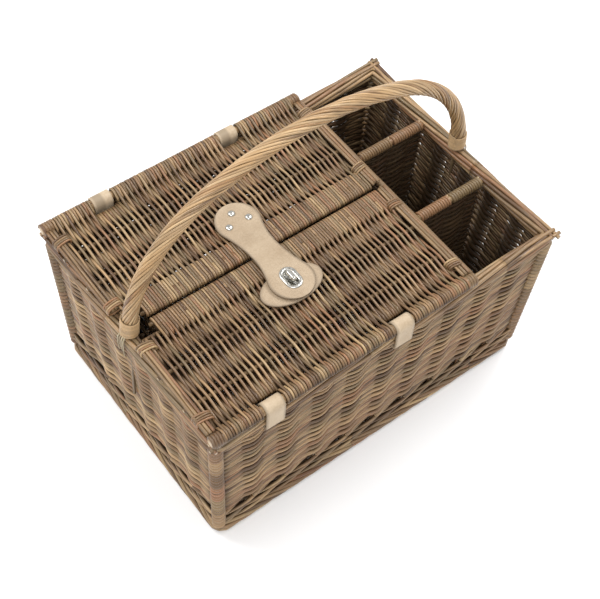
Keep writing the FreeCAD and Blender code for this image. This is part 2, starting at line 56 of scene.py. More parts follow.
TURN = 2 * math.pi
draw = np.random.default_rng(11).uniform


def middle_of(low, high):
    return [(a + b) / 2 for a, b in zip(low, high)]


def columns(*values):
    """Rows of points from one column for each coordinate. A column may be a single value."""
    return np.stack(np.broadcast_arrays(*values), axis=-1)


def unit(rows):
    """The same directions, each with length 1."""
    return rows / np.linalg.norm(rows, axis=1)[:, None]


def travelled(path):
    """How far along a path each of its points lies."""
    return np.concatenate(([0.0], np.cumsum(np.linalg.norm(np.diff(path, axis=0), axis=1))))


# ------------------------------------------------------------------ places read from the frame
FOOT_LOW, FOOT_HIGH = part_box("foot_border")
RIM_LOW, RIM_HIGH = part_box("rim_border")
WALE_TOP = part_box("bottom_wale")[1].z
WALL_MIDDLE = 9 * MM              # middle of a wall, in from the line from foot to rim
BAYS = (10, 7, 10, 7)             # spaces between stakes: front, right, back, left
BAY_COUNT = sum(BAYS)
CORNERS = (0, *np.cumsum(BAYS[:3]))  # bay at which each wall starts
CORNER_NAMES = ("front_left", "front_right", "back_right", "back_left")
WALL_NAMES = ("front", "right", "back", "left")
ALONG = (X_AXIS, Y_AXIS, -X_AXIS, -Y_AXIS)
OUTWARD = (-Y_AXIS, X_AXIS, Y_AXIS, -X_AXIS)
UPWARD = 0.5 * Z_AXIS              # painted shade: rods are painted lightest on the side that looks out and up and darker on the side turned away
WALL_LIT_SIDES = [(v + UPWARD) / 1.12 for v in OUTWARD]
BORDER_CORNER = 7 * MM             # radius of the borders' corners on their middle line

RAIL_LOW, RAIL_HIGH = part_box("back_lid_rail")
RAIL_X, RAIL_Y, RAIL_Z = middle_of(RAIL_LOW, RAIL_HIGH)
LID_LEFT, LID_RIGHT = RAIL_LOW.x, RAIL_HIGH.x
STICK_LOW, STICK_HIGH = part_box("back_lid_sticks")
STICK_RADIUS = (STICK_HIGH.z - STICK_LOW.z) / 2
STICK_Z = (STICK_HIGH.z + STICK_LOW.z) / 2
SEAM_STICK_Y = STICK_LOW.y + STICK_RADIUS
SECOND_STICK_Y = SEAM_STICK_Y + 13.5 * MM
LID_BAY = (RAIL_Y - SECOND_STICK_Y) / 3
END_BAND = 14 * MM                 # strip at each end of a lid that the end rods lie in
WEAVE_LEFT, WEAVE_RIGHT = LID_LEFT + END_BAND, LID_RIGHT - END_BAND
NOTCH_END = LID_LEFT + 33 * MM
NOTCH_HALF = 18.5 * MM
LOOPS = ("left", "right")
LOOP_BOXES = {(e, s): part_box("hinge_loop_%s_%s" % (e, s)) for e in ("front", "back") for s in LOOPS}


# ------------------------------------------------------------------ materials
def new_material(name):
    material = bpy.data.materials.new(name)
    material.use_nodes = True
    tree = material.node_tree
    shader = tree.nodes["Principled BSDF"]
    return material, tree, shader


def node(tree, kind, settings=(), **values):
    made = tree.nodes.new(kind)
    for name, value in settings:
        setattr(made, name, value)
    for name, value in values.items():
        made.inputs[name.replace("_", " ")].default_value = value
    return made


def attribute(tree, name):
    return node(tree, "ShaderNodeAttribute", [("attribute_name", name)])


def scaled(tree, vector, scale):
    made = node(tree, "ShaderNodeVectorMath", [("operation", "MULTIPLY")])
    tree.links.new(vector, made.inputs[0])
    made.inputs[1].default_value = scale
    return made.outputs[0]


def noise(tree, vector, scale, detail=3.0, rough=0.55):
    made = node(tree, "ShaderNodeTexNoise", Scale=scale, Detail=detail, Roughness=rough)
    tree.links.new(vector, made.inputs["Vector"])
    return made.outputs["Fac"]


def ramp(tree, factor, stops):
    made = node(tree, "ShaderNodeValToRGB")
    points = made.color_ramp.elements
    while len(points) < len(stops):
        points.new(0.5)
    for point, (place, colour) in zip(points, stops):
        point.position = place
        point.color = (*colour, 1.0)
    tree.links.new(factor, made.inputs[0])
    return made.outputs[0]


def spread(tree, factor, low, high, from_low=0.0, from_high=1.0):
    made = node(tree, "ShaderNodeMapRange")
    tree.links.new(factor, made.inputs[0])
    for i, value in enumerate((from_low, from_high, low, high), 1):
        made.inputs[i].default_value = value
    return made.outputs[0]


def mixed(tree, kind, factor, first, second):
    """Mixes two colours. Each of factor, first and second is a socket or a fixed value."""
    made = node(tree, "ShaderNodeMix", [("data_type", "RGBA"), ("blend_type", kind)])
    for i, value in ((0, factor), (6, first), (7, second)):
        if isinstance(value, bpy.types.NodeSocket):
            tree.links.new(value, made.inputs[i])
        else:
            made.inputs[i].default_value = value
    return made.outputs[2]


def bumped(tree, shader, height, strength, distance):
    made = node(tree, "ShaderNodeBump", Strength=strength, Distance=distance)
    tree.links.new(height, made.inputs["Height"])
    tree.links.new(made.outputs[0], shader.inputs["Normal"])


WEATHERED = (0.160, 0.112, 0.066, 1.0)
BARK = (0.10, 0.045, 0.022, 1.0)
# painted shade: the near-black brown mixed into rods where they lie hidden, underneath or against each other
PAINTED_SHADE = (0.022, 0.012, 0.006, 1.0)
CUT_WOOD = (0.62, 0.50, 0.33, 1.0)


def willow(name, tones, streak=0.45, rough=(0.24, 0.46)):
    """Willow rods: a tone for each rod, streaks along it, weathering, painted shade in hollows and underneath
    (with less specular), and pale cut ends.
    """
    material, tree, shader = new_material(name)
    grain = attribute(tree, "grain").outputs["Vector"]
    tone = attribute(tree, "tone").outputs["Fac"]
    deep = attribute(tree, "deep").outputs["Fac"]
    stops = [(i / (len(tones) - 1), colour) for i, colour in enumerate(tones)]
    base = ramp(tree, tone, stops)
    streaks = noise(tree, scaled(tree, grain, (70, 1500, 1500)), 1.0, 4.0, 0.6)
    patches = noise(tree, scaled(tree, grain, (28, 90, 90)), 1.0, 3.0, 0.5)
    light = ramp(tree, streaks, [(0.30, (1 - streak,) * 3), (0.52, (0.95,) * 3), (0.72, (1.18,) * 3)])
    base = mixed(tree, "MULTIPLY", 1.0, base, light)
    weather = spread(tree, patches, 0.0, 0.55, 0.48, 0.72)
    base = mixed(tree, "MIX", weather, base, WEATHERED)
    bark = spread(tree, noise(tree, scaled(tree, grain, (14, 260, 260)), 1.0, 2.0), 0.0, 0.7, 0.60, 0.70)
    base = mixed(tree, "MIX", bark, base, BARK)
    # painted shade: rods are darkened towards near-black where the mesh marks them as hidden or shaded
    base = mixed(tree, "MIX", deep, base, PAINTED_SHADE)
    base = mixed(tree, "MIX", spread(tree, deep, 0.0, 1.0, 0.0, -1.0), base, CUT_WOOD)
    tree.links.new(base, shader.inputs["Base Color"])
    tree.links.new(spread(tree, streaks, rough[1], rough[0], 0.3, 0.7), shader.inputs["Roughness"])
    # the specular is dimmed along with the painted shade
    tree.links.new(spread(tree, deep, 0.5, 0.12, 0.1, 0.8), shader.inputs["Specular IOR Level"])
    bumped(tree, shader, streaks, 0.55, 0.0005)
    return material


def leather(name, colour, darker):
    """Vegetable-tanned leather: mottled face, fine pores and a burnished, darker cut edge."""
    material, tree, shader = new_material(name)
    place = node(tree, "ShaderNodeTexCoord").outputs["Object"]
    mottle = noise(tree, place, 45.0, 4.0)
    fine = noise(tree, place, 420.0, 3.0)
    base = mixed(tree, "MIX", spread(tree, mottle, 0.0, 1.0, 0.35, 0.7), (*colour, 1.0), (*darker, 1.0))
    base = mixed(tree, "MULTIPLY", 0.5, base, ramp(tree, fine, [(0.3, (0.78, 0.75, 0.7)), (0.6, (1, 1, 1))]))
    edge = attribute(tree, "edge").outputs["Fac"]
    base = mixed(tree, "MIX", spread(tree, edge, 0.0, 0.75), base, tuple(0.55 * c for c in darker) + (1.0,))
    tree.links.new(base, shader.inputs["Base Color"])
    tree.links.new(spread(tree, fine, 0.42, 0.6, 0.3, 0.7), shader.inputs["Roughness"])
    pores = node(tree, "ShaderNodeTexVoronoi", Scale=900.0)
    tree.links.new(place, pores.inputs["Vector"])
    shader.inputs["Specular IOR Level"].default_value = 0.35
    height = mixed(tree, "MIX", 0.5, fine, pores.outputs["Distance"])
    bumped(tree, shader, height, 0.35, 0.0003)
    return material


def plated(name, colour, low, high):
    """Nickel plate: bright, with faint brushing and duller patches."""
    material, tree, shader = new_material(name)
    place = node(tree, "ShaderNodeTexCoord").outputs["Object"]
    brush = noise(tree, scaled(tree, place, (900, 6000, 900)), 1.0, 3.0)
    dull = noise(tree, place, 260.0, 3.0)
    patches = ramp(tree, dull, [(0.3, (0.72, 0.70, 0.66)), (0.6, (1, 1, 1))])
    shade = mixed(tree, "MULTIPLY", 0.6, (*colour, 1.0), patches)
    tree.links.new(shade, shader.inputs["Base Color"])
    tree.links.new(spread(tree, dull, low, high, 0.3, 0.7), shader.inputs["Roughness"])
    shader.inputs["Metallic"].default_value = 1.0
    bumped(tree, shader, brush, 0.08, 0.0001)
    return material


def painted_floor():
    material, tree, shader = new_material("pale_floor")
    place = node(tree, "ShaderNodeTexCoord").outputs["Object"]
    shade = ramp(tree, noise(tree, place, 3.0), [(0.3, (0.93, 0.93, 0.93)), (0.7, (0.95, 0.95, 0.95))])
    tree.links.new(shade, shader.inputs["Base Color"])
    shader.inputs["Roughness"].default_value = 0.9
    return material


WEAVER_TONES = [(0.109, 0.057, 0.025), (0.268, 0.157, 0.073), (0.426, 0.270, 0.133), (0.209, 0.130, 0.064),
                (0.327, 0.161, 0.076), (0.188, 0.126, 0.060), (0.515, 0.347, 0.176)]
HONEY_TONES = [(0.30, 0.158, 0.064), (0.45, 0.280, 0.130), (0.64, 0.450, 0.248), (0.39, 0.250, 0.124),
               (0.56, 0.358, 0.172)]
PALE_TONES = [(0.365, 0.296, 0.174), (0.479, 0.400, 0.261), (0.331, 0.261, 0.152)]
weave_look = willow("weathered_willow", WEAVER_TONES)
stick_look = willow("willow_sticks", WEAVER_TONES[1:6], streak=0.35)
handle_look = willow("honey_willow", HONEY_TONES, streak=0.35, rough=(0.26, 0.46))
skein_look = willow("pale_skein", PALE_TONES, streak=0.3)
strap_look = leather("strap_leather", (0.45, 0.350, 0.240), (0.38, 0.285, 0.188))
loop_look = leather("loop_leather", (0.54, 0.430, 0.300), (0.45, 0.345, 0.230))
nickel_look = plated("nickel", (0.56, 0.55, 0.51), 0.16, 0.32)
dull_nickel_look = plated("dull_nickel", (0.44, 0.42, 0.38), 0.3, 0.5)


# ------------------------------------------------------------------ meshes
def link(mesh, name, material):
    made = bpy.data.objects.new(name, mesh)
    made.data.materials.append(material)
    bpy.context.scene.collection.objects.link(made)
    return made


def belongs(piece, body, slot, *nodes):
    """Puts a piece on a moving body, in place of CAD nodes. slot is not used."""
    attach(piece, body)
    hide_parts(*nodes)


CUT_END = np.array([-1.0])        # the value of the shading attribute that marks the pale middle of a cut end; values from 0 up are painted shade


class Rods:
    """Gathers round rods, and turns them into one mesh with a tone and grain for each rod."""

    CAP_ROOM = 4 * MM
    STRIP_FILL = 0.94

    def __init__(self, sides=8):
        self.sides = sides
        self.points, self.faces, self.caps = [], [], []
        self.tone, self.grain, self.deep, self.travel = [], [], [], []
        self.count = 0
        self.length = 0.0
        self.girth = 0.0

    def add(self, path, radius, side=Z_AXIS, deep=0.0, tone=None, face=None, under=0.85, contact=0.0,
            shade=0.45):
        """Adds a rod. deep is painted shade on the skin that looks along face, and under is painted shade on
        the far side.
        contact paints shade along the lines where the rod touches its neighbours, and shade moves where under
        starts."""
        path = np.asarray(path, float)
        n, sides = len(path), self.sides
        radius = np.broadcast_to(np.asarray(radius, float), n)
        along = unit(np.gradient(path, axis=0))
        normal = unit(side - (along @ side)[:, None] * along)
        across = np.cross(along, normal)
        angle = np.linspace(0, TURN, sides, endpoint=False)
        spokes = (np.cos(angle)[None, :, None] * normal[:, None, :]
                  + np.sin(angle)[None, :, None] * across[:, None, :])
        rings = path[:, None, :] + radius[:, None, None] * spokes
        step = travelled(path)
        start = draw(0, 40)
        tone = draw(0, 1) if tone is None else tone
        grain = np.empty((n, sides, 3))
        grain[:, :, 0] = (step + start)[:, None]
        grain[:, :, 1] = radius[:, None] * np.cos(angle)[None, :] + start
        grain[:, :, 2] = radius[:, None] * np.sin(angle)[None, :]
        first = self.count
        index = first + np.arange(n * sides).reshape(n, sides)
        turned = np.roll(index, -1, axis=1)
        quads = columns(index[:-1], turned[:-1], turned[1:], index[1:])
        low, high = first + n * sides, first + n * sides + 1
        self.points.append(np.concatenate((rings.reshape(-1, 3), path[:1], path[-1:])))
        self.grain.append(np.concatenate((grain.reshape(-1, 3), grain[0, :1], grain[-1, :1])))
        self.tone.append(np.full(n * sides + 2, tone))
        # painted shade: each ring starts from the given darkness, skin turned away from face is painted
        # darker towards under, and the lines where the rod meets its neighbours get more painted shade, up to
        # 0.95
        hollow = np.repeat(np.broadcast_to(np.asarray(deep, float), n)[:, None], sides, axis=1)
        if face is not None:
            facing = np.einsum("ijk,ik->ij", spokes, np.broadcast_to(face, (n, 3)))
            far, touch, edge = (np.broadcast_to(a, n)[:, None] for a in (under, contact, shade))
            hollow = hollow + (far - hollow) * np.clip(edge - 0.9 * facing, 0, 1)
            hollow = np.minimum(hollow + touch * np.clip(0.8 - 1.2 * abs(facing), 0, 1), 0.95)
        self.deep.append(np.concatenate((hollow.ravel(), CUT_END, CUT_END)))
        self.faces.append(quads.reshape(-1, 4))
        self.caps.append(columns(turned[0], index[0], np.full(sides, low)))
        self.caps.append(columns(index[-1], turned[-1], np.full(sides, high)))
        self.length += self.CAP_ROOM
        self.travel.append(self.length + step)
        self.length += step[-1] + self.CAP_ROOM
        self.girth = max(self.girth, TURN * radius.max())
        self.count += n * sides + 2

    def bake_map(self):
        """UVs that lay each rod's skin along strips of a square, with no overlaps."""
        width = math.sqrt(self.length * self.girth / self.STRIP_FILL)
        strips = math.ceil(self.length / width) + 1
        share = np.arange(self.sides + 1) / self.sides * self.STRIP_FILL
        left, right = share[:-1], share[1:]
        middle = np.full(self.sides, self.STRIP_FILL / 2)
        quads, caps = [], []
        for travel in self.travel:
            u = travel[:, None] / width
            strip = np.floor(u)
            here, there, row = u[:-1] - strip[:-1], u[1:] - strip[:-1], strip[:-1]
            quads.append([(here, row + left), (here, row + right), (there, row + right), (there, row + left)])
            for end, sign, first, second in ((0, -1, right, left), (-1, 1, left, right)):
                rim, row = u[end] - strip[end], strip[end]
                tip = rim + sign * self.CAP_ROOM / 2 / width
                caps.append([(rim, row + first), (rim, row + second), (tip, row + middle)])
        corners = [np.stack([columns(u, v / strips) for u, v in face], axis=-2) for face in quads + caps]
        return np.concatenate([face.reshape(-1, 2) for face in corners]) * 0.98 + 0.005

    def piece(self, name, material, slot, *nodes, body="root"):
        """Makes one mesh of all the rods, in place of CAD nodes."""
        mesh = bpy.data.meshes.new(name)
        points = np.concatenate(self.points)
        quads, caps = np.concatenate(self.faces), np.concatenate(self.caps)
        corners = np.concatenate((quads.ravel(), caps.ravel()))
        sizes = np.concatenate((np.full(len(quads), 4), np.full(len(caps), 3)))
        mesh.vertices.add(len(points))
        mesh.vertices.foreach_set("co", points.astype(np.float32).ravel())
        mesh.loops.add(len(corners))
        mesh.loops.foreach_set("vertex_index", corners.astype(np.int32))
        mesh.polygons.add(len(sizes))
        mesh.polygons.foreach_set("loop_start", np.concatenate(([0], np.cumsum(sizes)[:-1])).astype(np.int32))
        mesh.polygons.foreach_set("use_smooth", sizes == 4)
        mesh.update(calc_edges=True)
        for label, values in (("tone", self.tone), ("deep", self.deep)):
            layer = mesh.attributes.new(label, "FLOAT", "POINT")
            layer.data.foreach_set("value", np.concatenate(values).astype(np.float32))
        layer = mesh.attributes.new("grain", "FLOAT_VECTOR", "POINT")
        layer.data.foreach_set("vector", np.concatenate(self.grain).astype(np.float32).ravel())
        mesh.uv_layers.new(name="OFBake").data.foreach_set("uv", self.bake_map().astype(np.float32).ravel())
        mesh.validate()
        belongs(link(mesh, name, material), body, slot, *nodes)


def wobble(length_along, size, waves=3, span=0.12):
    """A smooth random sideways drift along a rod."""
    total = np.zeros_like(length_along)
    for _ in range(waves):
        total += np.sin(length_along * TURN / (span * draw(0.5, 1.6)) + draw(0, 6.28))
    return total * size / waves


def loft(name, rings, material, closed=False, edge=None):
    """A mesh through rings of points. Its two ends are capped, or joined to each other if closed."""
    rings = np.asarray(rings, float)
    index = np.arange(rings.shape[0] * rings.shape[1]).reshape(rings.shape[:2])
    following = np.roll(index, -1, axis=0) if closed else index[1:]
    here = index if closed else index[:-1]
    faces = columns(here, np.roll(here, -1, axis=1), np.roll(following, -1, axis=1), following)
    faces = [list(map(int, f)) for f in faces.reshape(-1, 4)]
    if not closed:
        faces.append([int(i) for i in index[0][::-1]])
        faces.append([int(i) for i in index[-1]])
    mesh = bpy.data.meshes.new(name)
    mesh.from_pydata([tuple(p) for p in rings.reshape(-1, 3)], [], faces)
    mesh.validate()
    mesh.polygons.foreach_set("use_smooth", np.ones(len(mesh.polygons), bool))
    if edge is not None:
        layer = mesh.attributes.new("edge", "FLOAT", "POINT")
        layer.data.foreach_set("value", np.asarray(edge, np.float32).ravel())
    return link(mesh, name, material)


# ------------------------------------------------------------------ the way round the basket
def half_sizes(z):
    """Half length and half width of the middle line of the walls at height z."""
    share = np.clip((z - FOOT_HIGH.z) / (RIM_LOW.z - FOOT_HIGH.z), -0.2, 1.2)
    half_x = FOOT_HIGH.x + share * (RIM_HIGH.x - FOOT_HIGH.x) - WALL_MIDDLE
    half_y = FOOT_HIGH.y + share * (RIM_HIGH.y - FOOT_HIGH.y) - WALL_MIDDLE
    return half_x, half_y


def around(bay, half_x, half_y, out, z, corner):
    """Points of a line round the basket. bay counts stakes from the front left corner."""
    bay = np.mod(np.asarray(bay, float), BAY_COUNT)
    points = np.empty((len(bay), 3))
    half_x, half_y, out, z = (np.broadcast_to(a, len(bay)) for a in (half_x, half_y, out, z))
    for wall in range(4):
        start = CORNERS[wall]
        here = (bay >= start) & (bay < start + BAYS[wall])
        hx, hy = half_x[here], half_y[here]
        across, along_wall = (hy, 2 * hx) if wall % 2 == 0 else (hx, 2 * hy)
        travel = (bay[here] - start) / BAYS[wall] * along_wall
        near = np.minimum(travel, along_wall - travel)
        turn = np.where(near < corner, math.pi / 4 * (1 - near / corner), 0.0)
        flip = np.where(travel < along_wall / 2, -1.0, 1.0)
        bent = corner - corner * np.sin(turn)
        place = np.where(near < corner, np.where(flip < 0, bent, along_wall - bent), travel)
        place = place + flip * np.sin(turn) * out[here] - along_wall / 2
        rise = corner * (np.cos(turn) - 1) + np.cos(turn) * out[here]
        points[here] = np.outer(place, ALONG[wall]) + np.outer(across + rise, OUTWARD[wall])
    points[:, 2] = z
    return points


# ------------------------------------------------------------------ siding
FIRST_ROW = 6.6 * MM              # spacing of the rods at the bottom of the siding
ROW_SHRINK = 0.016                # how fast the tapering rods close up towards the rim
CORNER_SHARE = 0.05               # where the rods of a wall end, in bays from the middle of the corner post
THICKNESS = 0.485                 # radius of a rod as a share of the spacing
REACH_OUT = 4.3 * MM              # how far a rod swings out as it passes in front of a stake
REACH_IN = 3.0 * MM               # how far it swings in as it passes behind one
SIDING_STEPS = 10                 # points of a rod's path in each bay
POST_REACH = 8 * MM               # radius of a wrapped corner post
WRAPS_PER_ROD = 5
WRAP_STEPS = 18                   # points in one turn of a wrapping rod


def row_height(row):
    return WALE_TOP + FIRST_ROW / ROW_SHRINK * (1 - np.exp(-ROW_SHRINK * row))


def wall_spans(start, stop):
    """The stretches between two bays that lie on each wall, a little way into the corner posts."""
    spans = []
    for turn in range(3):
        for wall in range(4):
            first = max(CORNERS[wall] + turn * BAY_COUNT + CORNER_SHARE, start)
            last = min(CORNERS[wall] + BAYS[wall] + turn * BAY_COUNT - CORNER_SHARE, stop)
            if last - first > 0.2:
                spans.append((wall, first, last))
    return spans


def siding():
    """Tapering rods that each start at one stake and climb a row at every bay."""
    walls = [Rods() for _ in WALL_NAMES]
    rows = -math.log(1 - ROW_SHRINK * (RIM_LOW.z - WALE_TOP) / FIRST_ROW) / ROW_SHRINK
    for weaver in range(BAY_COUNT):
        thick = THICKNESS * draw(0.93, 1.06)
        tone = draw(0, 1)
        for wall, first, last in wall_spans(weaver, weaver + rows):
            bay = np.linspace(first, last, max(4, int((last - first) * SIDING_STEPS)))
            row = bay - weaver
            z = row_height(row) + wobble(row * 0.045, 0.5 * MM)
            inwards = np.clip(1 - np.minimum(bay - first, last - bay) / 0.35, 0, 1)
            inwards[(bay - first < 0.35) & (first == weaver)] = 0
            swing = np.cos(math.pi * (bay + weaver)) ** 3
            front, back = np.clip(swing, 0, 1), np.clip(-swing, 0, 1)
            out = REACH_OUT * front - REACH_IN * back
            out = out * (1 - inwards) - 2.5 * MM * inwards + wobble(row * 0.045, 0.3 * MM)
            hx, hy = half_sizes(z)
            path = around(bay, hx, hy, out, z, 1 * MM)
            spacing = FIRST_ROW * np.exp(-ROW_SHRINK * row)
            radius = (thick - 0.03 * front + 0.20 * back) * spacing * (1 + wobble(row * 0.045, 0.05))
            drift = float(np.clip(tone + draw(-0.08, 0.08), 0, 1))
            # painted shade: a rod is painted near-black where it passes behind a stake and where its ends
            # tuck in, a little lighter (painted light) where it passes in front, and darker on its underside
            # and where it touches its neighbours
            hollow = 0.02 + 0.90 * np.clip(1.5 * back, 0, 1) - 0.04 * front
            hollow = hollow * (1 - inwards) + 0.75 * inwards
            walls[wall].add(path, radius, deep=hollow, tone=drift, face=WALL_LIT_SIDES[wall], under=0.9,
                            contact=0.15 + 0.50 * front, shade=0.30 + 0.38 * front)
    return walls


def stake_path(bay, low, high, count=14):
    z = np.linspace(low, high, count)
    hx, hy = half_sizes(z)
    return around(np.full(count, float(bay)), hx, hy, wobble(z, 0.3 * MM), z, 6 * MM)


def build_walls():
    walls = siding()
    for wall, name in enumerate(WALL_NAMES):
        walls[wall].piece(name + "_siding", weave_look, "willow_weave", name + "_wall_weave")
        stakes = Rods()
        for i in range(1, BAYS[wall]):
            path = stake_path(CORNERS[wall] + i, FOOT_HIGH.z - 3 * MM, RIM_LOW.z + 3 * MM)
            # painted shade: stakes are a little dark all over and darker on the side turned in and down
            stakes.add(path, 2.1 * MM * draw(0.92, 1.05), side=X_AXIS, deep=0.12, tone=draw(0.3, 1),
                       face=WALL_LIT_SIDES[wall])
        stakes.piece(name + "_stakes", stick_look, "willow_rods", name + "_wall_stakes")
    for name in CORNER_NAMES:
        build_corner_post(name)


def build_corner_post(name):
    """A leaning post, wrapped by rods that grow thinner towards the rim."""
    low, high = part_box("corner_post_" + name)
    sign_x, sign_y = (1 if "right" in name else -1), (1 if "back" in name else -1)
    near_x, far_x = sorted((abs(low.x), abs(high.x)))
    near_y, far_y = sorted((abs(low.y), abs(high.y)))
    foot = np.array((sign_x * (near_x + POST_REACH), sign_y * (near_y + POST_REACH), FOOT_HIGH.z))
    head = np.array((sign_x * (far_x - POST_REACH), sign_y * (far_y - POST_REACH), RIM_LOW.z))
    heights = [0.0]
    while heights[-1] < head[2] - foot[2]:
        share = heights[-1] / (head[2] - foot[2])
        heights.append(heights[-1] + (8.2 - 2.2 * share) * MM * draw(0.93, 1.07))
    turns = np.arange(0, len(heights) - 1, 1 / WRAP_STEPS)
    z = np.interp(turns, np.arange(len(heights)), heights)
    share = z / (head[2] - foot[2])
    centre = foot + np.outer(share, head - foot)
    thick = (3.9 - 0.9 * share) * MM * (1 + wobble(turns * 0.1, 0.08))
    out = POST_REACH + 0.4 * MM - thick
    angle = TURN * turns
    ring = columns(np.cos(angle), np.sin(angle), 0.0)
    rods = Rods()
    # painted shade: the core is painted dark under its wraps, and the wraps darker on their inner side and
    # where they touch
    rods.add([foot, (foot + head) / 2, head], 4.4 * MM, side=X_AXIS, deep=0.8)
    for first in range(0, len(turns) - 1, WRAPS_PER_ROD * WRAP_STEPS):
        part = slice(first, first + WRAPS_PER_ROD * WRAP_STEPS + 1)
        path = centre[part] + out[part, None] * ring[part]
        rods.add(path, thick[part], deep=0.03, face=ring[part], contact=0.3)
    rods.piece("corner_" + name, weave_look, "willow_rods", "corner_post_" + name)


# ------------------------------------------------------------------ borders and wale
def plait(rods, strands, turns, middle, reach_out, reach_up, z, radius, climb, shift=0.0):
    """Rods that circle an oval section while they run round the basket."""
    bay = np.linspace(0, BAY_COUNT, BAY_COUNT * 8 + 1)
    for strand in range(strands):
        angle = TURN * (turns * bay / BAY_COUNT + strand / strands + shift)
        hx, hy = middle
        height = z + climb * reach_up * np.sin(angle) + wobble(bay * 0.045, 0.4 * MM)
        out = reach_out * np.cos(angle) + wobble(bay * 0.045, 0.35 * MM)
        path = around(bay, hx, hy, out, height, BORDER_CORNER)
        path[-1] = path[0]
        thick = radius * draw(0.92, 1.06) * (1 + wobble(bay * 0.045, 0.05))
        for first in range(0, len(bay) - 1, 34):
            part = slice(first, first + 35)
            outward = unit(path[part] - around(bay[part], hx, hy, 0, z, BORDER_CORNER))
            # painted shade on the inner side of each strand and where strands touch
            rods.add(path[part], thick[part], deep=0.02, face=outward, contact=0.45)


def corner_ends(rods, z, beyond):
    """Cut ends of the border rods that cross at each corner and stand a little proud."""
    for sign_x in (-1, 1):
        for sign_y in (-1, 1):
            for i in range(2):
                inset = (3.6 + 6.5 * i) * MM
                length = draw(45, 80) * MM
                rise = z + (0.6 + 0.9 * (i % 2)) * MM
                tip = beyond * draw(-0.6, 1.1)
                x, y = RIM_HIGH.x - inset, RIM_HIGH.y - inset
                along_x = [(x - length, y, z - 3 * MM), (x - length * 0.4, y, rise - 0.5 * MM),
                           (RIM_HIGH.x + tip, y + 0.6 * MM, rise + 0.6 * MM)]
                along_y = [(x, y - length, z - 3 * MM), (x, y - length * 0.4, rise - 0.9 * MM),
                           (x + 0.6 * MM, RIM_HIGH.y + tip, rise - 0.6 * MM)]
                for path in (along_x, along_y):
                    line = smooth(np.array(path) * (sign_x, sign_y, 1), 12)
                    # painted shade on the undersides of the ends and where they touch
                    rods.add(line, np.linspace(2.1, 2.5, 12) * MM, face=Z_AXIS, contact=0.3)


def build_borders():
    foot, rim, wale = Rods(), Rods(), Rods()
    foot_middle = (FOOT_HIGH.x - 9 * MM, FOOT_HIGH.y - 9 * MM)
    plait(foot, 9, 7, foot_middle, 6.5 * MM, 6.0 * MM, 8.9 * MM, 2.45 * MM, -1)
    foot.piece("foot_plait", weave_look, "willow_weave", "foot_border")
    rim_middle = (RIM_HIGH.x - 9.5 * MM, RIM_HIGH.y - 9.5 * MM)
    rim_z = (RIM_LOW.z + RIM_HIGH.z) / 2
    plait(rim, 9, 3, rim_middle, 6.9 * MM, 7.4 * MM, rim_z, 2.6 * MM, 1)
    corner_ends(rim, RIM_HIGH.z - 2.6 * MM, 2.6 * MM)
    rim.piece("rim_plait", weave_look, "willow_weave", "rim_border")
    band = (WALE_TOP - FOOT_HIGH.z) / 3
    for i in range(3):
        z = FOOT_HIGH.z + (i + 0.5) * band
        hx, hy = half_sizes(z)
        plait(wale, 3, 11, (hx, hy), 4.6 * MM, 3.1 * MM, z, 2.35 * MM, 1, shift=0.21 * i)
    wale.piece("wale", weave_look, "willow_weave", "bottom_wale")


# ------------------------------------------------------------------ flat woven panels
PANEL_PITCH = 4.6 * MM
PANEL_SHADE = 0.88                  # painted shade: the compartments' sides are painted dark, as they lie in shade
UPRIGHT_RADIUS = 2.3 * MM
# painted shade on the compartments' uprights
UPRIGHT_SHADE = 0.85


def flat_panel(rods, stakes, span, rows, radius, reach, origin, axes, deep):
    """Rows of rods that pass the stakes on alternate sides. axes: along the rods, sideways, up the rows."""
    start, stop = span
    along, sideways, up = axes
    edges = np.concatenate(([start], stakes, [stop]))
    for i, row in enumerate(rows):
        travel = np.linspace(start, stop, max(12, int((stop - start) / (5 * MM))))
        phase = np.interp(travel, edges, np.arange(len(edges)))
        side = reach * np.cos(math.pi * (phase + i)) + wobble(travel, 0.2 * MM)
        height = row + wobble(travel, 0.35 * MM)
        path = origin + np.outer(travel, along) + np.outer(side, sideways) + np.outer(height, up)
        rods.add(path, radius * draw(0.9, 1.05), deep=deep, side=sideways)


def wrap_round(rods, start, stop, centre, axis, first, second, middle_radius, pitch, radius, **kind):
    """One thin rod wound round a straight line."""
    turns = (stop - start) / pitch
    angle = np.linspace(0, TURN * turns, int(turns * 14) + 2)
    along = start + pitch * angle / TURN
    path = (np.array(centre) + np.outer(along, axis) + np.outer(middle_radius * np.cos(angle), first)
            + np.outer(middle_radius * np.sin(angle), second))
    rods.add(path, radius, side=axis, **kind)


def build_compartments():
    low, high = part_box("partition_weave")
    x, y, z = middle_of(low, high)
    stakes, weave, rail = Rods(), Rods(), Rods(12)
    places = [(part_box("partition_stakes")[0].y + 2.5 * MM) * (1 - 2 * i / 5) for i in range(6)]
    rows = np.arange(low.z + 2 * MM, high.z - 1 * MM, PANEL_PITCH)
    flat_panel(weave, places, (low.y + 1.5 * MM, high.y - 1.5 * MM), rows, 2.25 * MM, 2.9 * MM,
               x * X_AXIS, (Y_AXIS, X_AXIS, Z_AXIS), PANEL_SHADE)
    for y in places:
        upright = [(x, y, low.z), (x, y, z), (x, y, high.z + 2 * MM)]
        stakes.add(upright, UPRIGHT_RADIUS, side=X_AXIS, deep=UPRIGHT_SHADE)
    weave.piece("partition_rods", weave_look, "willow_weave", "partition_weave")
    stakes.piece("partition_uprights", stick_look, "willow_rods", "partition_stakes")
    low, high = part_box("partition_rail")
    y = np.linspace(low.y, high.y, 40)
    z = middle_of(low, high)[2]
    rail.add(columns(x + wobble(y, 0.3 * MM), y, z + wobble(y, 0.2 * MM)), 4.4 * MM, tone=0.45)
    rail.piece("partition_top_rail", stick_look, "willow_rods", "partition_rail")
    for end in ("front", "back"):
        build_divider(end)


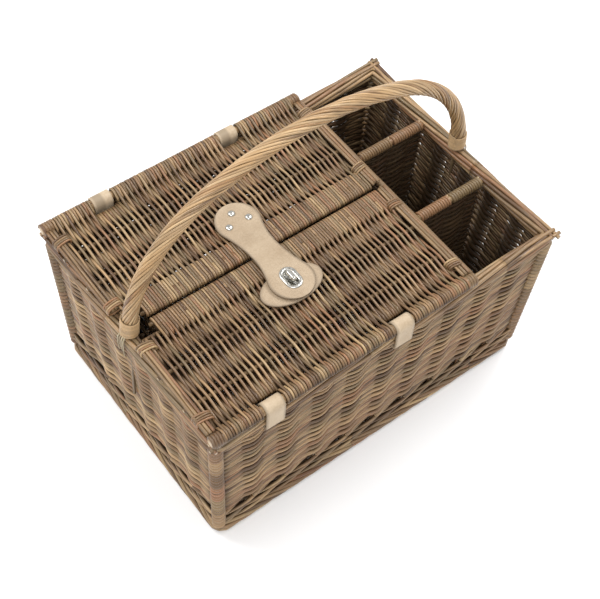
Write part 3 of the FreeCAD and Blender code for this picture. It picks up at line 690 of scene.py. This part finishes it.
def build_divider(end):
    low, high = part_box(end + "_divider_weave")
    x, y, z = middle_of(low, high)
    weave, stakes, rail = Rods(), Rods(), Rods(10)
    stake_low, stake_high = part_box(end + "_divider_stakes")
    places = [stake_low.x + 2.5 * MM, stake_high.x - 2.5 * MM]
    rows = np.arange(low.z + 2 * MM, high.z, PANEL_PITCH)
    flat_panel(weave, places, (low.x + 1 * MM, high.x - 6 * MM), rows, 2.2 * MM, 2.4 * MM,
               y * Y_AXIS, (X_AXIS, Y_AXIS, Z_AXIS), PANEL_SHADE)
    for x in places:
        upright = [(x, y, low.z), (x, y, z), (x, y, high.z)]
        stakes.add(upright, UPRIGHT_RADIUS, side=X_AXIS, deep=UPRIGHT_SHADE)
    low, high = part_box(end + "_divider_rail")
    z = middle_of(low, high)[2]
    rail.add(columns(np.linspace(low.x, high.x, 20), y, z), 4.2 * MM)
    for x0, x1 in ((low.x, (low.x + high.x) / 2), ((low.x + high.x) / 2, high.x)):
        wrap_round(rail, x0 + 1.6 * MM, x1 - 1.4 * MM, (0, y, z), X_AXIS, Y_AXIS, Z_AXIS, 5.3 * MM, 3.5 * MM,
                   1.65 * MM, tone=draw(0.5, 1))
    weave.piece(end + "_divider_rods", weave_look, "willow_weave", end + "_divider_weave")
    stakes.piece(end + "_divider_uprights", stick_look, "willow_rods", end + "_divider_stakes")
    rail.piece(end + "_divider_wrapped_rail", weave_look, "willow_rods", end + "_divider_rail")


def build_base():
    low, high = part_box("base_weave")
    z = middle_of(low, high)[2]
    stick_low, stick_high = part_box("base_sticks")
    places = np.linspace(stick_low.y + 4 * MM, stick_high.y - 4 * MM, 5)
    sticks, weave = Rods(), Rods(6)
    for y in places:
        x = np.linspace(low.x, high.x, 40)
        sticks.add(columns(x, y + wobble(x, 0.4 * MM), z), 3.7 * MM)
    rows = np.arange(low.x + 2.5 * MM, high.x - 2 * MM, 4.3 * MM)
    # the base rods get painted shade of 0.55
    flat_panel(weave, places, (low.y + 2 * MM, high.y - 2 * MM), rows, 2.15 * MM, 3.8 * MM,
               z * Z_AXIS, (Y_AXIS, Z_AXIS, X_AXIS), 0.55)
    sticks.piece("base_cross_sticks", stick_look, "willow_rods", "base_sticks")
    weave.piece("base_rods", weave_look, "willow_weave", "base_weave")


# ------------------------------------------------------------------ handle
HALF_SPAN = RIM_HIGH.x - 11 * MM
HAUNCH = 176 * MM                 # radius of the arcs at the two ends of the arch
ROPING_RADIUS = 8.9 * MM          # outside of the twisted strands
STRAND_RADIUS = 1.72 * MM
STRANDS = 16
TWIST_LENGTH = 150 * MM           # length of handle in which a strand goes once round
CROWN_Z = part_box("handle_roping")[1].z - 8.5 * MM


def arch(count):
    """Points, outward normals and travelled length of the handle's middle line, from left to right."""
    rise = CROWN_Z - RIM_HIGH.z
    crown = (HALF_SPAN ** 2 + rise ** 2 - 2 * HALF_SPAN * HAUNCH) / (2 * (rise - HAUNCH))
    crown_half = math.atan2(HALF_SPAN - HAUNCH, crown - rise)
    haunch_length = HAUNCH * (math.pi / 2 - crown_half)
    total = 2 * (haunch_length + crown * crown_half)
    s = np.linspace(0, total, count)
    mirrored = np.minimum(s, total - s)
    sign = np.where(s < total / 2, -1.0, 1.0)
    angle = np.where(mirrored < haunch_length, mirrored / HAUNCH,
                     math.pi / 2 - crown_half + (mirrored - haunch_length) / crown)
    reach = np.where(mirrored < haunch_length, HAUNCH, crown)
    centre_x = np.where(mirrored < haunch_length, HALF_SPAN - HAUNCH, 0.0)
    centre_z = np.where(mirrored < haunch_length, RIM_HIGH.z, CROWN_Z - crown)
    normal = columns(sign * np.cos(angle), 0.0, np.sin(angle))
    centre = columns(sign * centre_x, 0.0, centre_z)
    return centre + reach[:, None] * normal, normal, s


def build_handle():
    middle, normal, s = arch(240)
    rope = Rods(8)
    for strand in range(STRANDS):
        angle = TURN * (strand / STRANDS - s / TWIST_LENGTH) + wobble(s, 0.08)
        out = (ROPING_RADIUS - STRAND_RADIUS) * (1 + wobble(s, 0.035))
        ring = np.cos(angle)[:, None] * normal + np.sin(angle)[:, None] * Y_AXIS[None, :]
        tone = draw(0, 1)
        radius = STRAND_RADIUS * draw(0.94, 1.05) * (1 + wobble(s, 0.06))
        # painted shade on the inner side of each strand and in the grooves between strands
        rope.add(middle + out[:, None] * ring, radius, side=Y_AXIS, tone=tone, face=ring, contact=0.6)
    rope.piece("handle_rope", handle_look, "handle_willow", "handle_roping")
    bow = Rods(12)
    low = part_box("handle_bow")[0]
    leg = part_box("right_wall_weave")[1].x - 7 * MM
    ends = np.array([(-leg, 0, low.z), (-HALF_SPAN - 0.5 * MM, 0, (low.z + RIM_HIGH.z) / 2)])
    path = np.concatenate((ends, middle[::6], ends[::-1] * (-1, 1, 1)))
    radius = np.full(len(path), 3.5 * MM)
    radius[:2] = radius[-2:] = 1.7 * MM
    # painted shade on the core, which lies inside the rope
    bow.add(path, radius, side=Y_AXIS, deep=0.7, tone=0.5)
    bow.piece("handle_core", handle_look, "handle_willow", "handle_bow")
    for name, sign in (("left", -1), ("right", 1)):
        build_handle_end(name, sign, middle, normal, s)


def build_handle_end(name, sign, middle, normal, s):
    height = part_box("handle_binding_" + name)[1].z - RIM_HIGH.z
    pitch = 2.5 * MM
    turns = height / pitch
    count = int(turns * 16)
    travel = np.linspace(1.0 * MM, height - 1.2 * MM, count)
    place = travel if sign < 0 else s[-1] - travel
    core = np.stack([np.interp(place, s, middle[:, i]) for i in range(3)], axis=-1)
    outward = np.stack([np.interp(place, s, normal[:, i]) for i in range(3)], axis=-1)
    angle = TURN * turns * np.linspace(0, 1, count)
    ring = np.cos(angle)[:, None] * outward + np.sin(angle)[:, None] * Y_AXIS[None, :]
    wrap = Rods(8)
    # painted shade on the inner side of the wrap and between its turns
    wrap.add(core + 9.6 * MM * ring, 1.3 * MM, side=Z_AXIS, tone=0.35, face=ring, contact=0.4)
    wrap.piece("handle_wrap_" + name, handle_look, "handle_willow", "handle_binding_" + name)
    low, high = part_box("handle_tail_" + name)
    outer = max(abs(low.x), abs(high.x))
    inner = min(abs(low.x), abs(high.x))
    tails = Rods(8)
    for i, y in enumerate(np.linspace(low.y + 2 * MM, high.y - 2 * MM, 4)):
        drop = (0.55 + 0.45 * draw(0, 1)) * (RIM_HIGH.z - low.z)
        out = outer - 1.4 * MM
        path = np.array([(HALF_SPAN + 3 * MM, y * 0.6, 4.5 * MM), (inner - 3 * MM, y * 0.8, 2.5 * MM),
                         (out - 0.8 * MM, y, -3 * MM), (out, y * 1.1, -drop / 2), (out - 0.6 * MM, y, -drop)])
        path = smooth(path * (sign, 1, 1) + RIM_HIGH.z * Z_AXIS, 24)
        tails.add(path, np.linspace(1.35, 0.5, 24) * MM, side=Y_AXIS, tone=0.2 + 0.2 * i)
    tails.piece("handle_tails_" + name, skein_look, "handle_willow", "handle_tail_" + name)


def smooth(points, count):
    """A smooth line of count points through a few chosen ones."""
    points = np.asarray(points, float)
    ends = np.concatenate(([2 * points[0] - points[1]], points, [2 * points[-1] - points[-2]]))
    t = np.linspace(0, len(points) - 1 - 1e-9, count)
    i = t.astype(int)
    u = (t - i)[:, None]
    a, b, c, d = (ends[i + k] for k in range(4))
    square, cube = 2 * a - 5 * b + 4 * c - d, 3 * b - a - 3 * c + d
    return 0.5 * (2 * b + (c - a) * u + square * u ** 2 + cube * u ** 3)


# ------------------------------------------------------------------ lids
ROD_PITCH = 3.3 * MM
ROD_RADIUS = 1.9 * MM
LID_REACH = 3.6 * MM              # how far a rod passes above or below the sticks' middle
RAIL_REACH = 6.3 * MM             # middle of the rods wound round the rail, from its axis
SEAM_REACH = 5.3 * MM
TIE_PLACES = (33 * MM, 138 * MM)


def arc(centre_y, centre_z, reach_y, reach_z, first, last, count):
    angle = np.radians(np.linspace(first, last, count))
    return columns(centre_y + reach_y * np.cos(angle), centre_z + reach_z * np.sin(angle))


def lid_wave(y):
    """How a rod passes the lid sticks: 1 on top, -1 underneath, 0 half way."""
    crossing = SECOND_STICK_Y + LID_BAY / 2
    leave = SECOND_STICK_Y + 6 * MM
    near_seam = np.cos(math.pi / 2 * np.clip((y - leave) / (crossing - leave), 0, 1))
    wave = np.where(y < crossing, near_seam, -np.sin(math.pi * (y - crossing) / LID_BAY))
    return np.sign(wave) * abs(wave) ** 1.6


def lid_rod(on_top, slotted):
    """One rod of a lid from the seam to the rail, as (y, z) points, with the wrap round the rail."""
    sign = 1 if on_top else -1
    stop = 148.5 * MM if slotted else SECOND_STICK_Y + 2.5 * LID_BAY
    y = np.arange(SECOND_STICK_Y + 1 * MM, stop, 3.6 * MM)
    weave = columns(y, STICK_Z + sign * LID_REACH * lid_wave(y))
    seam_first, seam_last = (-80, -270) if on_top else (80, 270)
    seam = arc(SEAM_STICK_Y, STICK_Z, SEAM_REACH, LID_REACH, seam_first, seam_last, 8)
    under = [(SECOND_STICK_Y - 4 * MM, STICK_Z - sign * LID_REACH)]
    start = np.concatenate((under, seam))
    if slotted:
        end = np.array([(150.8 * MM, STICK_Z - 1 * MM), (151.4 * MM, STICK_Z - 3.5 * MM)])
        return np.concatenate((start, weave, end))
    if on_top:
        rail = arc(RAIL_Y, RAIL_Z, RAIL_REACH, RAIL_REACH, -140, 140, 15)
        tail = np.array([(RAIL_Y - 9.2 * MM, RAIL_Z + 1.6 * MM), (RAIL_Y - 11.2 * MM, RAIL_Z - 1.8 * MM)])
    else:
        rail = arc(RAIL_Y, RAIL_Z, RAIL_REACH, RAIL_REACH, 125, -150, 15)
        tail = np.array([(RAIL_Y - 8.0 * MM, RAIL_Z - 4.6 * MM)])
    return np.concatenate((start, weave, rail, tail))


def seam_wrap():
    """The extra turn that fills the top of the seam between the rods that run on."""
    top = [(SECOND_STICK_Y + 10.5 * MM, STICK_Z - 0.5 * MM), (SECOND_STICK_Y + 7.5 * MM, STICK_Z + 3.2 * MM),
           (SECOND_STICK_Y + 3.5 * MM, STICK_Z + LID_REACH), (SEAM_STICK_Y + 5 * MM, STICK_Z + LID_REACH)]
    edge = arc(SEAM_STICK_Y, STICK_Z, SEAM_REACH, LID_REACH, 90, 270, 8)
    return np.concatenate((top, edge))


def in_slot(end, x):
    """Whether a rod at x would run into a hinge loop."""
    boxes = [LOOP_BOXES[end, side] for side in LOOPS]
    return any(low.x - 2.2 * MM < x < high.x + 2.2 * MM for low, high in boxes)


def lid_points(x, line, way, lean):
    travel = travelled(line)
    drift = wobble(travel, 0.18 * MM, span=0.16) + lean * (line[:, 0] - 0.08)
    return columns(x + drift, way * line[:, 0], line[:, 1] + wobble(travel, 0.2 * MM))


def build_lid(end, way):
    """A lid, front or back. way is the direction along Y from the seam to its rail."""
    weave = Rods(6)
    rod_places = np.arange(WEAVE_LEFT + ROD_RADIUS, WEAVE_RIGHT - 0.5 * MM, ROD_PITCH)
    for i, x in enumerate(rod_places):
        on_top = i % 2 == 0
        line = lid_rod(on_top, in_slot(end, x))
        keep = line[:, 0] > (NOTCH_HALF + 1.5 * MM if x < NOTCH_END + 1 * MM else 0)
        line = line[keep]
        # painted shade: the lower a rod lies among the sticks the darker its top, the higher it lies the
        # darker its underside, with more painted shade where rods touch near the top and bottom of the wave
        depth = np.clip((STICK_Z + LID_REACH - line[:, 1]) / (2 * LID_REACH), 0, 1)
        shade_from_above = 0.95 * np.clip((depth - 0.35) / 0.5, 0, 1) ** 1.2
        shade_from_below = 0.95 * np.clip((0.65 - depth) / 0.5, 0, 1) ** 1.2
        radius = ROD_RADIUS * draw(0.93, 1.06)
        lean = draw(-0.004, 0.004)
        weave.add(lid_points(x, line, way, lean), radius, side=X_AXIS, deep=shade_from_above, face=Z_AXIS,
                  under=shade_from_below, contact=0.3 + 0.4 * abs(2 * depth - 1))
        if not on_top and x > NOTCH_END + 1 * MM:
            wrap = lid_points(x, seam_wrap(), way, 0)
            # painted shade on the underside of the seam wrap and where it touches the rods
            weave.add(wrap, ROD_RADIUS, side=X_AXIS, deep=0.05, face=Z_AXIS, contact=0.5)
    weave.piece(end + "_lid_rods", weave_look, "willow_weave", end + "_lid_weave", body=end + "_lid")
    build_lid_sticks(end, way)
    build_lid_rail(end, way)
    build_lid_ends(end, way)


def build_lid_sticks(end, way):
    sticks = Rods(10)
    lefts = [NOTCH_END - 3 * MM, WEAVE_LEFT - 1 * MM, LID_LEFT, LID_LEFT]
    places = [SEAM_STICK_Y, SECOND_STICK_Y, SECOND_STICK_Y + LID_BAY, SECOND_STICK_Y + 2 * LID_BAY]
    for left, y in zip(lefts, places):
        x = np.linspace(left, LID_RIGHT, 50)
        path = columns(x, way * y + wobble(x, 0.3 * MM), STICK_Z + wobble(x, 0.2 * MM))
        # painted shade: the sticks lie under the rods
        sticks.add(path, STICK_RADIUS * 0.8, deep=0.6, tone=draw(0, 0.5))
    sticks.piece(end + "_lid_cross_sticks", stick_look, "willow_rods", end + "_lid_sticks", body=end + "_lid")


def build_lid_rail(end, way):
    x = np.linspace(LID_LEFT, LID_RIGHT, 160)
    bare = np.array([in_slot(end, v) for v in x])
    radius = np.where(bare, 5.9, 4.9) * MM
    rail = Rods(12)
    rail.add(columns(x, way * RAIL_Y, RAIL_Z), radius, tone=0.35)
    centre = (0, way * RAIL_Y, RAIL_Z)
    spans = [(LID_LEFT + 1 * MM, WEAVE_LEFT + 1 * MM), (WEAVE_RIGHT, LID_RIGHT - 1.6 * MM)]
    for start, stop in spans:
        wrap_round(rail, start, stop, centre, X_AXIS, way * Y_AXIS, Z_AXIS, RAIL_REACH, 3.3 * MM, ROD_RADIUS)
    rail.piece(end + "_lid_wrapped_rail", weave_look, "willow_rods", end + "_lid_rail", body=end + "_lid")


def build_lid_ends(end, way):
    rods, ties = Rods(8), Rods(8)
    z = middle_of(*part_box(end + "_lid_end_rods"))[2]
    for x0, x1, start in ((LID_LEFT, WEAVE_LEFT, 28 * MM), (WEAVE_RIGHT, LID_RIGHT, 3 * MM)):
        for i in range(3):
            x = x0 + 1.2 * MM + (i + 0.5) * (x1 - x0 - 2.4 * MM) / 3
            y = np.linspace(start + draw(0, 3) * MM, RAIL_Y - 8 * MM, 30)
            bow = wobble(y, 0.6 * MM, span=0.2)
            path = columns(x + bow, way * y, z + wobble(y, 0.5 * MM))
            # painted shade underneath and where the rods touch; the rods at the left end are also a little
            # darker all over
            rods.add(path, 1.95 * MM * draw(0.92, 1.1), side=X_AXIS, deep=0.2 if x < 0 else 0.0,
                     face=Z_AXIS, under=0.3, contact=0.5)
    for x0, x1 in ((LID_LEFT + 1.2 * MM, WEAVE_LEFT + 6 * MM), (WEAVE_RIGHT - 3 * MM, LID_RIGHT - 1.2 * MM)):
        for y in TIE_PLACES:
            for turn in range(4):
                place = y + (turn - 1.5) * 2.9 * MM
                skew = way * draw(1, 3) * MM
                ties.add(tie_path(x0, x1, way * place, skew), 1.3 * MM, side=Y_AXIS)
    rods.piece(end + "_lid_edge_rods", stick_look, "willow_rods", end + "_lid_end_rods", body=end + "_lid")
    ties.piece(end + "_lid_ties", weave_look, "willow_weave", end + "_lid_bindings", body=end + "_lid")


def tie_path(x0, x1, y, skew):
    """One turn of a tie round the end rods and a stick, a flat oval in the XZ plane."""
    angle = np.linspace(-0.6 * math.pi, 1.45 * math.pi, 26)
    half, middle = (x1 - x0) / 2, (x0 + x1) / 2
    rise, centre = 5.4 * MM, STICK_Z + 2.2 * MM
    ox = np.sign(np.cos(angle)) * np.abs(np.cos(angle)) ** 0.7
    oz = np.sign(np.sin(angle)) * np.abs(np.sin(angle)) ** 0.8
    return columns(middle + half * ox, y + skew * ox / 2, centre + rise * oz)


# ------------------------------------------------------------------ leather
def rounded_section(half_width, thickness, across=9):
    """Points round the edge of a leather strip's section, and how near each is to the cut edge."""
    half = thickness / 2
    face = np.linspace(-1, 1, across) * (half_width - half * 0.6)
    turn = np.radians(np.linspace(-60, 60, 4))
    right = columns(half_width - half * 0.6 * (1 - np.cos(turn)), half * np.sin(turn) / math.sin(math.pi / 3))
    top = columns(face[::-1][1:-1], half)
    left = right[::-1] * (-1, 1)
    bottom = columns(face[1:-1], -half)
    points = np.concatenate((right, top, left, bottom))
    edge = np.concatenate((np.ones(4), np.zeros(across - 2), np.ones(4), np.zeros(across - 2)))
    return points, edge


def build_loops():
    """Leather bands that pass round the lid rail and the outer part of the rim border."""
    reach = RAIL_HIGH.z - RAIL_Z + 0.3 * MM + LEATHER / 2
    inner, outer = RAIL_Y - reach, RAIL_Y + reach
    shoulder = RAIL_Z - 4 * MM
    corner = 3 * MM
    for (end, side), (low, high) in LOOP_BOXES.items():
        way = 1 if end == "back" else -1
        foot = low.z + LEATHER / 2 + corner
        path = np.concatenate((arc(RAIL_Y, RAIL_Z, reach, reach, 0, 180, 15),
                               np.linspace((inner, shoulder), (inner, foot), 6),
                               arc(inner + corner, foot, corner, corner, 195, 270, 5),
                               arc(outer - corner, foot, corner, corner, 270, 345, 5),
                               np.linspace((outer, foot), (outer, shoulder), 6)))
        tangent = unit(np.roll(path, -1, axis=0) - np.roll(path, 1, axis=0))
        section, edge = rounded_section((high.x - low.x) / 2, LEATHER)
        x, out = middle_of(low, high)[0] + section[:, 0], section[:, 1]
        y = path[:, :1] + out * tangent[:, 1:]
        rings = columns(x, way * y, path[:, 1:] - out * tangent[:, :1])
        if way > 0:
            rings = rings[:, ::-1]
        edges = np.tile(edge, (len(path), 1))
        made = loft("loop_%s_%s" % (end, side), rings, loop_look, closed=True, edge=edges)
        belongs(made, "root", "leather", "hinge_loop_%s_%s" % (end, side))


STRAP_LOW, STRAP_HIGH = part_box("strap_tongue")
ANCHOR_LOW, ANCHOR_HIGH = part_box("strap_anchor")
STRAP_X = middle_of(STRAP_LOW, STRAP_HIGH)[0]
LEATHER = ANCHOR_HIGH.z - ANCHOR_LOW.z
END_RADIUS = 27 * MM
NECK_HALF = 18 * MM
STRAP_ENDS = (ANCHOR_HIGH.y - END_RADIUS, STRAP_LOW.y + END_RADIUS)
LOCK_LOW, LOCK_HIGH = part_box("eyelet_front")
LOCK_X, LOCK_Y, LOCK_Z = middle_of(LOCK_LOW, LOCK_HIGH)


def strap_half_width(y):
    """Half width of the dog-bone strap: two round ends joined by hollow sides."""
    top, bottom = STRAP_ENDS
    half, middle = (top - bottom) / 2, (top + bottom) / 2
    hollow = (half ** 2 + NECK_HALF ** 2 - END_RADIUS ** 2) / (2 * (END_RADIUS - NECK_HALF))
    side = NECK_HALF + hollow - np.sqrt(np.maximum(hollow ** 2 - (y - middle) ** 2, 0))
    reach = abs(y - middle) - half
    round_end = np.sqrt(np.maximum(END_RADIUS ** 2 - reach ** 2, (0.6 * MM) ** 2))
    tangent = half * hollow / math.hypot(half, NECK_HALF + hollow)
    return np.where(abs(y - middle) < tangent, side, round_end)


def strap_height(y):
    """Middle of the strap's leather: flat on the back lid, a ramp down the neck, flat on the lock."""
    flat = (ANCHOR_LOW.z + ANCHOR_HIGH.z) / 2
    raised = STRAP_HIGH.z - LEATHER / 2
    share = np.clip((24 * MM - y) / (54 * MM), 0, 1)
    return flat + (raised - flat) * share * share * (3 - 2 * share)


def build_strap():
    top, bottom = STRAP_ENDS[0] + END_RADIUS, STRAP_ENDS[1] - END_RADIUS
    middle = (top + bottom) / 2
    angle = np.linspace(0, math.pi, 96)
    y = middle + (top - middle - 0.2 * MM) * np.sign(np.cos(angle)) * np.abs(np.cos(angle)) ** 0.72
    section, edge = rounded_section(1.0, LEATHER, 15)
    y = y[:, None]
    x = STRAP_X + strap_half_width(y) * np.clip(section[:, 0], -1, 1)
    rings = columns(x, y, strap_height(y) + section[:, 1])
    edges = np.tile(edge, (len(y), 1))
    made = loft("closure_strap", rings, strap_look, edge=edges)
    levels = (STRAP_HIGH.z - 2 * LEATHER, STRAP_HIGH.z + LEATHER)
    hole = loft("eyelet_hole", [stadium(LOCK_X, LOCK_Y, 21.6 * MM, 10.2 * MM, z) for z in levels], strap_look)
    cut = made.modifiers.new("slot", "BOOLEAN")
    cut.object = hole
    cut.solver = "EXACT"
    bpy.context.view_layer.update()
    graph = bpy.context.evaluated_depsgraph_get()
    mesh = bpy.data.meshes.new_from_object(made.evaluated_get(graph))
    made.modifiers.clear()
    made.data = mesh
    bpy.data.objects.remove(hole)
    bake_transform(made)
    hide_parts("strap_anchor", "strap_tongue")


def stadium(x, y, length, width, z, count=40):
    """A ring of points: two straight sides and two round ends, long along Y."""
    half = (length - width) / 2
    angle = np.linspace(0, TURN, count, endpoint=False) + math.pi / count
    shift = np.where(np.sin(angle) > 0, half, -half)
    return columns(x + width / 2 * np.cos(angle), y + shift + width / 2 * np.sin(angle), z)


def oval(x, y, half_x, half_y, z, count):
    """A ring of points round an upright axis."""
    angle = np.linspace(0, TURN, count, endpoint=False)
    return columns(x + half_x * np.cos(angle), y + half_y * np.sin(angle), z)


def build_patch():
    low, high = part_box("closure_patch")
    x, y = middle_of(low, high)[:2]
    rings, edges = [], []
    profile = [(0.30, 0, 0), (0.8, 0, 0), (0.975, 0, 0.4), (0.998, 0.35, 1), (1.0, 0.6, 1), (0.985, 0.93, 1),
               (0.955, 1.0, 0.5), (0.88, 1.0, 0), (0.5, 1.0, 0), (0.1, 1.0, 0)]
    for share, height, edge in profile:
        z = low.z + (high.z - low.z) * height
        rings.append(oval(x, y, (high.x - low.x) / 2 * share, (high.y - low.y) / 2 * share, z, 72))
        edges.append(np.full(72, edge))
    made = loft("oval_patch", rings, strap_look, edge=edges)
    belongs(made, "front_lid", "leather", "closure_patch")


# ------------------------------------------------------------------ metal fittings
def build_metal():
    build_eyelet()
    build_knob()
    build_rivets()
    for name, look in (("eyelet_back", nickel_look), ("lock_plate", nickel_look),
                       ("lock_screws", dull_nickel_look), ("lock_backing_plate", dull_nickel_look),
                       ("rivet_burrs", dull_nickel_look)):
        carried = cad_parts[name]
        carried.data.materials.clear()
        carried.data.materials.append(look)


def build_eyelet():
    """A rounded ring on the strap with a collar that goes down through it."""
    low, high = LOCK_LOW, LOCK_HIGH
    face = STRAP_HIGH.z
    outer = [(0.0, face), (0.15, face + 0.6 * MM), (0.8, high.z), (2.2, high.z + 0.5 * MM), (4.0, high.z)]
    inner = [(5.4, face + 0.4 * MM), (5.75, face - 0.6 * MM), (5.75, low.z), (4.9, low.z),
             (4.9, face - 0.5 * MM)]
    rings = []
    for inset, z in outer + inner:
        length, width = high.y - low.y - 2 * inset * MM * 0.92, high.x - low.x - 2 * inset * MM
        rings.append(stadium(LOCK_X, LOCK_Y, length, width, z, 64))
    made = loft("eyelet_ring", rings, nickel_look, closed=True)
    belongs(made, "strap", "nickel", "eyelet_front")


def build_knob():
    """A rounded oval bar on a short round neck."""
    low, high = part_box("turn_knob")
    x, y = middle_of(low, high)[:2]
    bar_low = LOCK_HIGH.z + 0.3 * MM
    rings = [stadium(x, y, 6.2 * MM, 6.198 * MM, low.z, 48), stadium(x, y, 6.2 * MM, 6.19 * MM, bar_low, 48)]
    for inset, share in ((1.0, 0.0), (0.25, 0.10), (0.0, 0.28), (0.05, 0.55), (0.45, 0.80), (1.2, 0.95),
                         (2.2, 1.0), (2.9, 1.0)):
        length, width = high.y - low.y - 2 * inset * MM, high.x - low.x - 2 * inset * MM
        rings.append(stadium(x, y, length, width, bar_low + share * (high.z - bar_low), 48))
    belongs(loft("knob", rings, nickel_look), "knob", "nickel", "turn_knob")


def build_rivets():
    low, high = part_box("strap_rivets")
    face = ANCHOR_HIGH.z
    profile = [(1.6, low.z), (1.6, face - 0.5 * MM), (4.4, face), (4.45, face + 0.35 * MM),
               (4.1, face + 0.95 * MM), (3.3, face + 1.55 * MM), (2.1, face + 1.98 * MM),
               (0.8, high.z), (0.2, high.z)]
    rivets = []
    for x, y in ((0, 60), (-13.5, 45), (13.5, 45)):
        rings = [oval(STRAP_X + x * MM, y * MM, r * MM, r * MM, z, 32) for r, z in profile]
        rivets.append(loft("rivet", rings, nickel_look))
    with bpy.context.temp_override(active_object=rivets[0], selected_editable_objects=rivets):
        bpy.ops.object.join()
    rivets[0].name = "domed_rivets"
    belongs(rivets[0], "back_lid", "nickel", "strap_rivets")


# ------------------------------------------------------------------ stage, light and camera
AZIMUTH, ELEVATION, ROLL = math.radians(-41.16), math.radians(55.29), math.radians(4.98)
DISTANCE = 1585 * MM
LENS = 78.0


def add_light(name, kind, place, spread_out, power):
    light = bpy.data.lights.new(name, kind)
    light.energy = power
    if kind == "SUN":
        light.angle = spread_out
    else:
        light.size = spread_out
    lamp = bpy.data.objects.new(name, light)
    lamp.location = place
    aim = Vector((0, 0, 0.15)) - Vector(place)
    lamp.rotation_euler = aim.to_track_quat("-Z", "Y").to_euler()
    bpy.context.scene.collection.objects.link(lamp)


def build_stage():
    bpy.ops.mesh.primitive_grid_add(x_subdivisions=4, y_subdivisions=4, size=60)
    floor = bpy.context.object
    floor.name = "floor"
    floor.data.materials.append(painted_floor())
    world = bpy.data.worlds.new("studio")
    world.use_nodes = True
    tree = world.node_tree
    sky = node(tree, "ShaderNodeTexCoord").outputs["Generated"]
    height = node(tree, "ShaderNodeSeparateXYZ")
    tree.links.new(sky, height.inputs[0])
    shade = ramp(tree, height.outputs["Z"], [(0.0, (0.95, 0.95, 0.95)), (0.12, (0.93, 0.93, 0.93)),
                                             (0.45, (0.72, 0.72, 0.73)), (1.0, (0.60, 0.60, 0.61))])
    tree.links.new(shade, tree.nodes["Background"].inputs[0])
    tree.nodes["Background"].inputs[1].default_value = 1.0
    bpy.context.scene.world = world
    add_light("key", "SUN", (-1.1, -1.0, 2.6), math.radians(40), 1.35)
    add_light("top", "AREA", (1.3, 0.1, 2.3), 1.0, 32)
    add_light("back", "AREA", (-0.9, 1.2, 2.1), 0.9, 22)
    bpy.context.scene.view_settings.view_transform = "Standard"
    bpy.context.scene.view_settings.look = "None"


def build_camera():
    towards = Vector((math.sin(AZIMUTH) * math.cos(ELEVATION), -math.cos(AZIMUTH) * math.cos(ELEVATION),
                      math.sin(ELEVATION)))
    camera = bpy.data.objects.new("camera", bpy.data.cameras.new("camera"))
    camera.data.lens = LENS
    camera.data.clip_start = 0.05
    turn = (-towards).to_track_quat("-Z", "Y").to_matrix().to_4x4() @ Matrix.Rotation(ROLL, 4, "Z")
    right, up = turn.col[0].to_3d(), turn.col[1].to_3d()
    target = Vector((0, 0, 0.12)) + 0.0028 * right - 0.0093 * up
    camera.matrix_world = Matrix.Translation(target + towards * DISTANCE) @ turn
    bpy.context.scene.collection.objects.link(camera)
    bpy.context.scene.camera = camera


build_stage()
build_camera()
build_walls()
build_borders()
build_base()
build_compartments()
build_handle()
for lid_name, lid_way in (("front", -1), ("back", 1)):
    build_lid(lid_name, lid_way)
build_loops()
build_strap()
build_patch()
build_metal()
